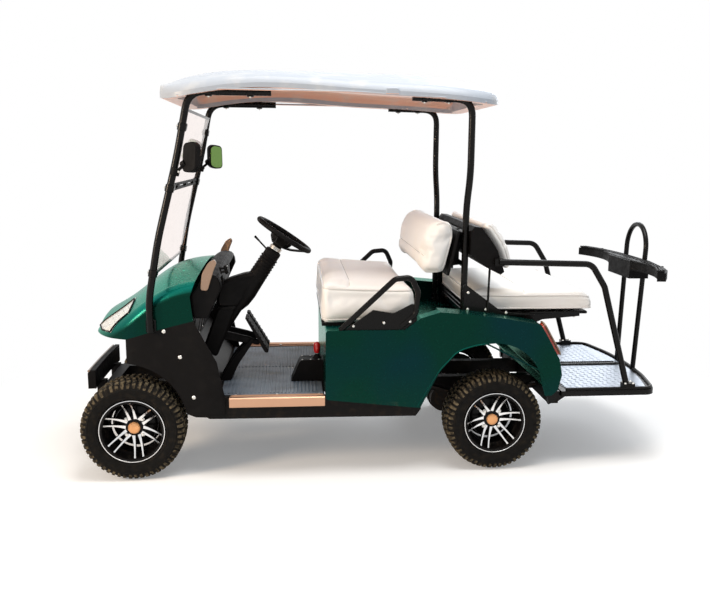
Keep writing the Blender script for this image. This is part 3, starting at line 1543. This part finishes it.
def front_tube(x, height, side):
    """A point of the leaning front tube."""
    y = FOOT_WIDE - height * math.sin(STRUT_LEAN)
    return at(x, side * y, FOOT_HIGH + height * math.cos(STRUT_LEAN))


def tube_height(height):
    """The tube's station at a height, read off its route."""
    for (xa, a), (xb, b) in zip(FRONT_ROUTE, FRONT_ROUTE[1:]):
        if a <= height <= b:
            return xa + (xb - xa) * (height - a) / (b - a)
    return FRONT_ROUTE[-1][0]


print("top of a front tube:", [round(v, 3) for v in front_tube(*FRONT_ROUTE[-1], 1)])

# %% [markdown]
# Small clamps hold the windscreen to the tubes: a ring round the tube, an ear
# that grips the pane and a bolt. Two more rings on each side carry the roof, and
# two thin cross rods keep the tubes apart. Clamps could be placed by eye, but
# here the tube's place is read off its route at any height, so they stay on it.

# %% Front tubes
CLIP_HEIGHTS = [265, 640, 905]
CLIP = [(15, -17), (20, -15), (20, 15), (15, 17)]
EAR = [(-15, -14), (15, -14), (15, 14), (-15, 14)]
ROOF_RING = [(16, -16), (21, -14), (21, 14), (16, 16)]
bm = bmesh.new()
for side in (-1, 1):
    rod(bm, bent([front_tube(x, h, side) for x, h in FRONT_ROUTE], BEND_R, 8), STRUT_R, 20)
    low, high = sided(side, 500, 524)
    box_bar(bm, (-770, low, 688), (-726, high, 744), 2)
    for x in (-470, -290):
        grip = front_tube(x, 1059, side)
        turned(bm, turn_frame(grip, (1, 0, 0)), ROOF_RING, 24, ring=True)
        bolt(bm, grip + Vector((0, 0, -0.021)), (0, 0, -1), 4.5, 1)
    for h in CLIP_HEIGHTS:
        spot = front_tube(tube_height(h), h, side)
        ahead = front_tube(tube_height(h + 20), h + 20, side)
        turned(bm, turn_frame(spot, ahead - spot), CLIP, 24, ring=True)
        ear = spot + Vector((0.010, -side * 0.022, 0.002))
        slab(bm, turn_frame(ear, (1, 0, -0.2), (0, 0, 1)), EAR, -9, 9, 3)
        bolt(bm, spot + Vector((-0.019, -side * 0.004, 0.004)), (-1, 0, 0.25), 5, 1)
rod(bm, [at(-566, y, 1668) for y in (-502, -250, 0, 250, 502)], 7, 12)
rod(bm, [at(-738, y, 944) for y in (-506, -250, 0, 250, 506)], 7, 12)
settle("front_tubes", bm, ["tube_black", "zinc"], "front_struts", replaces=True)

# %% [markdown]
# The rear pair stands upright between the two backrests, kinks outwards above
# them and folds forward under the roof. The front pair leans inwards instead, so
# this one can't be a copy of it. It is the same kind of rod on a route of its
# own, with a flange at its foot and two cross rods that the backrests lean on.

# %% Rear tubes
REAR_X = 700
REAR_LOW_WIDE, REAR_TOP_WIDE = 415, 490
REAR_TOP = 1742
REAR_ROUTE = [
    (REAR_X, REAR_LOW_WIDE, 660), (REAR_X, REAR_LOW_WIDE, 1250), (REAR_X, REAR_TOP_WIDE, 1400),
    (REAR_X, REAR_TOP_WIDE, 1738), (425, REAR_TOP_WIDE, REAR_TOP),
]
TOP_RING = [(16, -14), (21, -12), (21, 12), (16, 14)]
FLANGE = [(16, -20), (24, -18), (24, -12), (19, -6), (19, 16), (16, 18)]
bm = bmesh.new()
for side in (-1, 1):
    rod(bm, bent([at(x, side * y, z) for x, y, z in REAR_ROUTE], BEND_R, 8), STRUT_R, 20)
    for x in (480, 590):
        top = at(x, side * REAR_TOP_WIDE, REAR_TOP)
        turned(bm, turn_frame(top, (1, 0, 0)), TOP_RING, 24, ring=True)
        bolt(bm, at(x, side * REAR_TOP_WIDE, 1721), (0, 0, -1), 4.5, 1)
    turned(bm, turn_frame(at(REAR_X, side * REAR_LOW_WIDE, 690), (0, 0, 1)), FLANGE, 28)
for z in (975, 1125):
    rod(bm, [at(REAR_X, y, z) for y in (-REAR_LOW_WIDE, 0, REAR_LOW_WIDE)], 12, 16)
settle("rear_tubes", bm, ["tube_black", "zinc"], "rear_struts", replaces=True)

# %% [markdown]
# The roof keeps its solid. What is added is what a vacuum-formed canopy has: a
# rolled drip edge all round, shallow stiffening ridges along the top, and a drain
# spout in each side. The ridges could be displaced from the skin. Rods that
# follow it by ray, sunk until only a low arch shows, look the same and leave the
# solid alone.

# %% Roof edge and ridges
ROOF_EDGE = [
    (-684, 392, 1730), (-600, 510, 1728), (-420, 543, 1757), (150, 546, 1757), (560, 543, 1741),
    (760, 498, 1728), (832, 392, 1730),
]
SPOUT = [(296, 1748), (362, 1748), (356, 1778), (302, 1778)]
RIDGE_SINK = 0.0055
RIDGE_START, RIDGE_STEPS, RIDGE_PITCH = -520, 25, 50
roof_skin = surface_of("roof")
bm = bmesh.new()
ring = [at(x, -y, z) for x, y, z in ROOF_EDGE] + [at(x, y, z) for x, y, z in reversed(ROOF_EDGE)]
rod(bm, ring, 4.5, 10, closed=True)
for y in (-390, -200, 200, 390):
    ridge = []
    for i in range(RIDGE_STEPS):
        above_roof = at(RIDGE_START + i * RIDGE_PITCH, y, 2100)
        spot, normal = shot(roof_skin, above_roof, (0, 0, -1))
        if spot:
            ridge.append(spot - normal * RIDGE_SINK)
    rod(bm, ridge, 8, 10)
for side in (-1, 1):
    side_plate(bm, rounded(SPOUT, 10), *sided(side, 530, 551), 4)
settle("roof_edge", bm, ["roof_white"], "roof")

# %% [markdown]
# The windscreen folds in the middle. Its panes get a black hinge strip there,
# with three hinge barrels, and a polished edge at each side. Clear sheet shows
# its edges as bright lines, and thin pale rods give those lines at any distance.

# %% Windscreen strips
bm = bmesh.new()
for z, x in ((1322, -650), (1342, -646)):
    box_bar(bm, (x - 5, -504, z - 7), (x + 8, 504, z + 7), 2)
for y in (-300, 0, 300):
    barrel = turn_frame(at(-641, y, 1332), (0, 1, 0))
    turned(bm, barrel, [(6, -40), (8, -38), (8, 38), (6, 40)], 20)
for side in (-1, 1):
    for low, high in (((-733, 950), (-652, 1316)), ((-645, 1350), (-566, 1664))):
        foot, head = at(low[0], side * 505, low[1]), at(high[0], side * 505, high[1])
        rod(bm, [foot, foot.lerp(head, 0.5), head], 3.2, 8, 1)
settle("windscreen_strips", bm, ["trim_black", "tan"], "windscreen")

# %% [markdown]
# The steering column is a straight tube in a slim cowl, which flares where it
# enters the dash and again below it. A lofted cowl would be smoother. The flares
# sit in shadow, so two thick plates with wide chamfers are enough.

# %% Column cowl
COWL_TUBE = [
    (24, -61), (24, -88), (33, -92), (38, -104), (42, -240), (45, -330), (40, -380), (26, -420), (26, -840),
]
COWL_FOOT = [(-545, 560), (-470, 764), (-380, 770), (-420, 660), (-480, 520)]
COWL_SIDE = [
    (-455, 878), (-418, 900), (-340, 925), (-290, 930), (-268, 915), (-375, 760), (-468, 762), (-476, 800),
]
bm = bmesh.new()
turned(bm, steer, COWL_TUBE, 36)
side_plate(bm, rounded(COWL_SIDE, 18), -322, -238, 12)
side_plate(bm, rounded(COWL_FOOT, 20), -330, -230, 10)
settle("column_cowl", bm, ["trim_black"], "steering_column", replaces=True)

# %% [markdown]
# A pressed firewall closes the front under the dash, from the toe board up.
# Without it the eye looks straight through the cart between the pedals. A single
# plane would close the gap as well, but it would have no edge where it meets the
# toe board. So it is a thin tilted plate, and its ribs stand on the side where
# the feet are.

# %% Firewall
bm = bmesh.new()
side_plate(bm, [(-604, 556), (-596, 554), (-558, 752), (-566, 754)], -506, 506, 1.5)
for y in (-430, -150, 0, 150, 430):
    side_plate(bm, [(-600, 572), (-588, 580), (-560, 726), (-568, 740)], y - 9, y + 9, 2)
for y in (-470, -80, 80, 470):
    bolt(bm, at(-588, y, 592), (1, 0, -0.2), 4.5, 1)
settle("firewall", bm, ["trim_black", "zinc"], "floor_pan")

# %% [markdown]
# There are two pedals: a wide brake pad and a narrow throttle pad, on bent arms.
# A tread of nine round bars crosses each pad. Each pedal could be modelled by
# itself, but their arms and pads are alike, so one loop over place and width
# makes the pair.

# %% Pedals
PEDAL_ARM = [(-500, 640), (-440, 632), (-330, 604), (-268, 580), (-282, 562), (-360, 574), (-500, 600)]
PEDAL_STAY = [(-476, 386), (-420, 386), (-380, 470), (-300, 590), (-318, 598), (-410, 500)]
PAD_BARS = 9
PAD_SIDE = [(-345, 706), (-333, 708), (-232, 540), (-240, 532), (-252, 534)]
bm = bmesh.new()
for y, wide in ((-240, 110), (-110, 60)):
    low, high = y - wide / 2, y + wide / 2
    side_plate(bm, rounded(PAD_SIDE, 5), low, high, 2)
    side_plate(bm, rounded(PEDAL_ARM, 14), y - 9, y + 9, 3)
    side_plate(bm, rounded(PEDAL_STAY, 12), y - 14, y + 14, 3)
    for i in range(PAD_BARS):
        x, z = -338 + i * 11.6, 697 - i * 19.3
        rod(bm, [at(x + 9, p, z + 5) for p in (low + 8, y, high - 8)], 3.4, 8)
settle("hanging_pedals", bm, ["trim_black"], "pedals", replaces=True)

# %% [markdown]
# The floor mat has ribs from side to side, with a flat lane down its middle. A
# bump of stripes would look alike from above, but the camera is low and sees each
# rib against the light, so the ribs are small skins on a thin base.

# %% Floor mat
MAT_PITCH = 17.5
bm = bmesh.new()
mat_low, mat_high = box_in_mm("floor_mat")
box_bar(bm, (mat_low.x, mat_low.y, mat_low.z), (mat_high.x, mat_high.y, mat_high.z - 3.5), 1.5)
mat_ribs = int((mat_high.x - mat_low.x - 30) / MAT_PITCH)
for i in range(mat_ribs):
    x = mat_low.x + 20 + i * MAT_PITCH
    profile = [(x - 5.5, 0.5), (x - 3, 4.6), (x + 3, 4.6), (x + 5.5, 0.5)]
    base = mat_high.z - 4.5
    for y_low, y_high in ((mat_low.y + 14, -18), (18, mat_high.y - 14)):
        skin(bm, [[at(px, y, base + pz) for px, pz in profile] for y in (y_low, y_high)])
print("mat ribs:", mat_ribs)
settle("ribbed_mat", bm, ["mat_grey"], "floor_mat", replaces=True)

# %% [markdown]
# The sills are ribbed aluminium extrusions with countersunk screws. The ribs
# could be a bump, but they run along an edge, where the light picks out every
# one. An extrusion has the same section all along, so they are thin rods sunk
# partway into the plate, five on the top and three down the side.

# %% Sill plates
SILL_RIBS = (-398, -190, 22)
SILL_SCREW = [(6.5, -1), (6.5, 1.2), (5, 2.2), (2, 1.6), (0.4, 1.2)]
bm = bmesh.new()
for side in (-1, 1):
    for i in range(5):
        y = side * (532 + i * 7)
        rod(bm, [at(x, y, 388.6 - i * 0.2) for x in SILL_RIBS], 2.2, 8)
    for z in (354, 366, 378):
        rod(bm, [at(x, side * 581.9, z) for x in SILL_RIBS], 2.0, 8)
    for x in (-380, -190, 4):
        turned(bm, turn_frame(at(x, side * 524, 388), (0, 0, 1)), SILL_SCREW, 20, 1)
settle("sill_ribs", bm, ["sill", "zinc"], "sill_plates")

# %% [markdown]
# The rear footplate is diamond tread plate: small studs that lie alternately one
# way and the other. A height map would need an image, so each stud is a tiny
# three-ring skin on a grid. The lane of the grip bar and the rims stay bare.

# %% Tread plate
DIAMOND = [(-13, 0), (0, -3.4), (13, 0), (0, 3.4)]
DIAMOND_PITCH = 27
# share of the full size, and height
STUD_RINGS = [(1, -0.5), (0.9, 0.9), (0.45, 1.6)]
bm = bmesh.new()
for row in range(13):
    for column in range(34):
        x, y = 1210 + row * DIAMOND_PITCH * 1.15, -450 + column * DIAMOND_PITCH
        if abs(y) < 36 or abs(y) > 462:
            continue
        turn = math.radians(45 if (row + column) % 2 else -45)
        place = Matrix.Translation(at(x, y, 377)) @ Matrix.Rotation(turn, 4, "Z")
        rings = [[place @ mm(px * s, py * s, h) for px, py in DIAMOND] for s, h in STUD_RINGS]
        skin(bm, rings)
print("tread plate studs:", len(bm.verts) // 12)
settle("tread_studs", bm, ["plate"], "footplate_deck")

# %% [markdown]
# Behind the rear tubes a triangular plate closes the side under the bench, and a
# thin stay runs from the arm rail down to it. The plate could be a plain prism.
# Laser-cut plate has crisp edges, though, so it is a slab with a small chamfer,
# and the bolt heads do the rest.

# %% Bench side plates
TRIANGLE = [(688, 886), (700, 890), (880, 756), (1040, 744), (1040, 738), (690, 738)]
bm = bmesh.new()
for side in (-1, 1):
    side_plate(bm, rounded(TRIANGLE, 8), *sided(side, 447, 459), 2)
    stay = [at(806, side * 466, 752), at(808, side * 466, 860), at(809, side * 474, 978)]
    rod(bm, stay, 5.5, 12)
    for x, z in ((712, 770), (712, 850), (800, 768), (900, 752)):
        bolt(bm, at(x, side * 459, z), (0, side, 0), 5, 1)
settle("bench_sides", bm, ["tube_black", "zinc"], "rear_side_frames", replaces=True)

# %% [markdown]
# A headlamp is a lens set flush into the curved nose. Its outline could be traced
# by hand, but it bends in every direction. A grid of rays from the front finds
# where the lens begins and ends, row by row.

# %% Rays across a headlamp
lamp_skin = surface_of("headlamps")
lamp_low, lamp_high = box_in_mm("headlamps")
LAMP_ROWS, LAMP_COLUMNS = 22, 90
LENS_LIFT = 0.0005


def lens_row(side, z):
    """Points across one lens at a height, from the middle of the cart outwards."""
    hits = []
    for column in range(LAMP_COLUMNS):
        y = lamp_high.y * (column + 0.5) / LAMP_COLUMNS
        spot, normal = shot(lamp_skin, at(-1500, side * y, z), (1, 0, 0))
        if spot:
            hits.append(spot + normal * LENS_LIFT)
    return hits


print("lenses from", round(lamp_low.z), "to", round(lamp_high.z), "mm high")

# %% [markdown]
# The ends of the rows make the black bezel, and every third row is a flute on the
# lens. Flutes spread a lamp's light sideways, and from outside they are the faint
# lines that tell a lens from a painted patch.

# %% Headlamps
bm = bmesh.new()
for side in (-1, 1):
    inner_edge, outer_edge = [], []
    for row in range(LAMP_ROWS):
        z = lamp_low.z + 2 + (lamp_high.z - lamp_low.z - 4) * row / (LAMP_ROWS - 1)
        hits = lens_row(side, z)
        if len(hits) < 4:
            continue
        inner_edge.append(hits[0])
        outer_edge.append(hits[-1])
        if row % 3 == 1:
            rod(bm, hits[1:-1:2] if len(hits) > 8 else hits, 1.3, 6, 1)
    if len(inner_edge) > 4:
        rod(bm, inner_edge + outer_edge[::-1], 4.2, 8, 0, closed=True)
        print("headlamp rows:", len(inner_edge))
settle("headlamp_bezels", bm, ["trim_black", "lamp_clear"], "headlamps")

# %% [markdown]
# The tail lamps are long ovals on the sloping corners of the body: a red lens in
# a tan bezel, with five moulded bars, of which the two at the ends are clear.
# Stretched spheres would give the oval, but a moulded lens has a nearly flat
# face. One rounded outline serves the bezel and, moved inwards, the lens.

# %% Tail lamps
TAIL_LEAN = math.radians(30)
TAIL_OVAL = [(-154, -39), (24, -39), (24, 39), (-154, 39)]
TAIL_BARS, TAIL_PITCH = 5, 33
bm = bmesh.new()
for side in (-1, 1):
    lamp = turn_frame(at(1062, side * 500, 680), (math.cos(TAIL_LEAN), 0, math.sin(TAIL_LEAN)), (0, 0, 1))
    oval = rounded(TAIL_OVAL, 30, 6)
    ring = [lamp @ mm(p.x, p.y, 22) for p in oval]
    rod(bm, ring, 4.5, 10, closed=True)
    slab(bm, lamp, inset(oval, 3), -6, 25.5, 3, 1)
    for i in range(TAIL_BARS):
        height = -136 + i * TAIL_PITCH
        bar = [lamp @ mm(height, y, 24.6) for y in (-30, 0, 30)]
        rod(bm, bar, 1.4, 8, 2 if i in (0, TAIL_BARS - 1) else 1)
settle("tail_lenses", bm, ["tan", "lamp_red", "lamp_clear"], "tail_lamps", replaces=True)

# %% [markdown]
# The rear bench rests on a board that is a little smaller than the cushion, so
# only two cantilever arms and three cross bars show from behind and below. One
# thick block would carry the cushion too, but it would look like a drawer. The
# arms are plates that taper to the back, as welded brackets do.

# %% Rear bench board
CROSS_BARS = (742, 900, 1278)
BENCH_ARM = [(722, 662), (722, 736), (1300, 736), (1300, 714), (1110, 698), (1030, 662)]
bm = bmesh.new()
for y in (-340, 340):
    side_plate(bm, BENCH_ARM, y - 20, y + 20, 2)
for x in CROSS_BARS:
    box_bar(bm, (x - 18, -330, 708), (x + 18, 330, 735), 2)
box_bar(bm, (730, -418, 737), (1316, 418, 751), 3)
for x in CROSS_BARS:
    for y in (-340, 340):
        bolt(bm, at(x, y, 711 if x > 1000 else 662), (0, 0, -1), 6, 1)
settle("bench_board", bm, ["tube_black", "zinc"], "rear_seat_base", replaces=True)

# %% [markdown]
# The side panels are held by pale dome rivets and the hip guards by small screws
# with a recess. Small spheres pushed into the panel would pass for rivets, but a
# rivet has a flat collar that throws a thin shadow. So each head is turned, and
# sits where a ray from outside first meets its panel.

# %% Rivets and screws
PANEL_RIVETS = [(-694, 690), (-624, 572), (-567, 384)]
GUARD_SCREWS = [(160, 716), (300, 730), (420, 736)]
RIVET = [(9, -2), (9, 1.2), (7, 3.4), (3.5, 4.6), (0.4, 5)]
SCREW = [(6, -2), (6, 1.2), (4.4, 2.6), (1.6, 3), (1.4, 2), (0.4, 2)]


def fixed_from_outside(node, places, profile, steps):
    """A mesh of turned heads at places on both sides of a node."""
    tree = surface_of(node)
    bm = bmesh.new()
    for side in (-1, 1):
        for x, z in places:
            spot, _ = shot(tree, at(x, side * 900, z), (0, -side, 0))
            if spot:
                turned(bm, turn_frame(spot, (0, side, 0)), profile, steps)
    return bm


bm = fixed_from_outside("front_side_panels", PANEL_RIVETS, RIVET, 24)
settle("panel_rivets", bm, ["zinc"], "front_side_panels")
bm = fixed_from_outside("hip_rails", GUARD_SCREWS, SCREW, 18)
settle("guard_screws", bm, ["zinc"], "hip_rails")

# %% [markdown]
# The arm rails are bolted through the footplate, with four hex heads on each
# side. A ray could find their height too, but the plate is flat there, so plain
# numbers do.

# %% Rail bolts
bm = bmesh.new()
for side in (-1, 1):
    for x in (1498, 1538):
        for y in (472, 508):
            bolt(bm, at(x, side * y, 403), (0, 0, 1), 5)
settle("rail_bolts", bm, ["zinc"], "arm_rails")

# %% [markdown]
# Behind the end of the front bench each hip guard is closed by a black shield,
# which rises to the back. It could be drawn as one more bent tube with a sheet in
# it. The real one is sheet alone, so one thin plate with small rounded corners is
# the whole of it.

# %% Hip shields
SHIELD = [(205, 760), (352, 778), (431, 819), (452, 806), (452, 712), (400, 702), (205, 702)]
bm = bmesh.new()
for side in (-1, 1):
    side_plate(bm, rounded(SHIELD, 6), *sided(side, 561, 569), 1)
settle("hip_shields", bm, ["tube_black"], "hip_rails")

# %% [markdown]
# The footplate has a serrated black grip bar along its middle, so a foot finds it
# without looking. A row of cones could stand for its teeth. Pressed teeth are
# flat on top and narrower there than at the foot, so each is a skin of two rings,
# a full one below and one of half the width above.

# %% Footplate grip bar
GRIP_TEETH, TOOTH_PITCH = 36, 12
bm = bmesh.new()
box_bar(bm, (1206, -31, 376), (1650, 31, 381.5), 1.5)
for i in range(GRIP_TEETH):
    x = 1216 + i * TOOTH_PITCH
    for y in (-22, 22):
        tooth = [(x - 3.5, -8), (x + 3.5, -8), (x + 3.5, 8), (x - 3.5, 8)]
        rings = [[at(px, y + py * s, h) for px, py in tooth] for s, h in ((1, 381), (0.5, 386))]
        skin(bm, rings)
print("teeth:", 2 * GRIP_TEETH)

# %% [markdown]
# A round tube guards the rim of the plate and bows out at the back. A bevel on
# the plate would be lighter, but only a tube has a round highlight all the way
# along. It is one rod along a route with wide bends, like the tubes of the roof.

# %% Footplate edge
edge = [at(1200, -508, 378), at(1640, -508, 378), at(1690, -250, 378), at(1706, 0, 378)]
edge += [at(1690, 250, 378), at(1640, 508, 378), at(1200, 508, 378)]
rod(bm, bent(edge, 60, 6), 9, 12)
settle("footplate_grips", bm, ["tube_black"], "footplate_frame")

# %% [markdown]
# The bag rest is a moulded board over the grab bar, with raised ribs along it.
# They could be extruded from the board's mesh. The ribs run parallel to its bow,
# though, so it is simpler to lay three rods along one line that is moved a little
# each time.

# %% Bag rest ribs
# station and width along the middle line of the board
REST_LINE = [
    (1622, -548), (1668, -420), (1692, -250), (1700, -100),
    (1700, 100), (1692, 250), (1668, 420), (1622, 548),
]
bm = bmesh.new()
for shift in (-22, -4, 14):
    rod(bm, bent([at(x + shift * 0.8, y, 965) for x, y in REST_LINE], 60, 4), 4.5, 10)
print("ribs run over", len(REST_LINE), "stations")

# %% [markdown]
# The board narrows at its ends and has three strap bars on each side. It could be
# bent from a straight bar with a modifier. Its top is level and only its plan is
# curved, so a slab drawn from above is exact. Four bolts hold its block to the
# grab bar.

# %% Bag rest board
for y in (-120, -60, 60, 120):
    bolt(bm, at(1732, y, 900), (1, 0, 0), 6, 1)
PAD_PLAN = [
    (1634, -556), (1682, -466), (1730, -178), (1730, 178), (1682, 466), (1634, 556),
    (1606, 550), (1650, 450), (1662, 350), (1652, 240), (1638, 158),
    (1638, -158), (1652, -240), (1662, -350), (1650, -450), (1606, -550),
]
slab(bm, PLAN, PAD_PLAN, 954, 966, 4)
for side in (-1, 1):
    for y in (250, 330, 410):
        box_bar(bm, (1664, side * y - 6, 963), (1694, side * y + 6, 969), 1.5)
settle("bag_rest_ribs", bm, ["trim_black", "zinc"], "bag_rest")

# %% [markdown]
# Underneath, each leaf spring is clipped to its axle by U-bolts. They are small,
# but they are what a look from the side or from below finds first. Half a torus
# would make the bend, and the legs would then have to be joined on. A U-bolt is
# bent rod, so it is made as one, round the middle of the axle's box.

# %% Spring clips
U_BOLT = [(-0.028, 0.075), (-0.028, -0.045), (0.028, -0.045), (0.028, 0.075)]
bm = bmesh.new()
spring_high = Vector(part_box("leaf_springs")[1])
for axle in ("front_axle", "rear_axle"):
    a_low, a_high = (Vector(c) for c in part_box(axle))
    x = (a_low.x + a_high.x) / 2
    z = (a_low.z + a_high.z) / 2
    for side in (-1, 1):
        y = side * (spring_high.y - 0.022)
        for shift in (-0.038, 0.038):
            legs = [(x + shift, y + over, z + above) for over, above in U_BOLT]
            rod(bm, bent([Vector(point) for point in legs], 18, 4), 5, 10)
settle("axle_u_bolts", bm, ["zinc"], "leaf_springs")

# %% [markdown]
# The battery is a plain block under the bench, which only shows when the seat is
# lifted. Straps across it and a pair of terminals by each strap turn the block
# into a battery. Their places could be typed, but as shares of its box they fit
# it as it is.

# %% Battery straps
STRAPS = 4
TERMINAL = [(12, -1), (12, 10), (8, 13), (8, 22), (0.4, 22)]
bm = bmesh.new()
b_low, b_high = box_in_mm("battery_pack")
for i in range(STRAPS):
    y = b_low.y + (b_high.y - b_low.y) * (i + 0.5) / STRAPS
    box_bar(bm, (b_low.x - 2, y - 14, b_high.z - 1), (b_high.x + 2, y + 14, b_high.z + 3), 1)
    for x in (b_low.x + 60, b_high.x - 60):
        turned(bm, turn_frame(at(x, y + 60, b_high.z), (0, 0, 1)), TERMINAL, 24, 1)
settle("battery_straps", bm, ["trim_black", "zinc"], "battery_pack")

# %% [markdown]
# The body shell has a rolled lip round each rear wheel arch. A moulding gets
# stiff there, and the lip catches a thin line of light. The edge of the panel
# could be extruded, but the solid has to stay as it is. So the lip is a rod on a
# path that rays have laid on the panel, sunk a little, so that it looks moulded
# on.

# %% Arch lips
REAR_ARCH = [(462, 322), (560, 492), (640, 585), (770, 622), (940, 600), (1040, 492), (1090, 384)]
LIP_R, LIP_SINK = 4.0, 0.0012
body_skin = surface_of("rear_body")
bm = bmesh.new()
for side in (-1, 1):
    lip = bent([at(x, side * 581, z + 4) for x, z in REAR_ARCH], 110, 8)
    path = []
    for point in lip:
        spot, normal = shot(body_skin, Vector((point.x, side * 0.9, point.z + 0.006)), (0, -side, 0))
        if spot and abs(spot.y) > 0.5:
            path.append(spot - Vector((0, side * LIP_SINK, 0)))
    if len(path) > 8:
        rod(bm, path, LIP_R, 8)
settle("arch_lips", bm, ["body_green"], "rear_body")

# %% [markdown]
# The bumper has a tan rubbing strip along its upper edge and two bolt caps below
# it. The strip bows forward with the bumper, which a short formula says as well
# as a list of points.

# %% Bumper strip
STRIP_HALF, STRIP_STEP = 280, 56
BOLT_CAP = [(11, -3), (11, 1), (8, 3), (0.4, 3.4)]
bm = bmesh.new()
stations = range(-STRIP_HALF, STRIP_HALF + 1, STRIP_STEP)
strip = [at(-1088 - 4 * (1 - (y / STRIP_HALF) ** 2), y, 450) for y in stations]
rod(bm, strip, 6, 10)
for y in (-200, 200):
    turned(bm, turn_frame(at(-1093.5, y, 410), (-1, 0, 0)), BOLT_CAP, 24, 1)
settle("bumper_strip", bm, ["tan", "zinc"], "front_bumper")

# %% [markdown]
# Last, the box of the dressed cart is written beside the box of the bare frame.
# The two should hardly differ: dress that stands out from the frame's box would
# be hit by things that the frame's own shapes let pass.
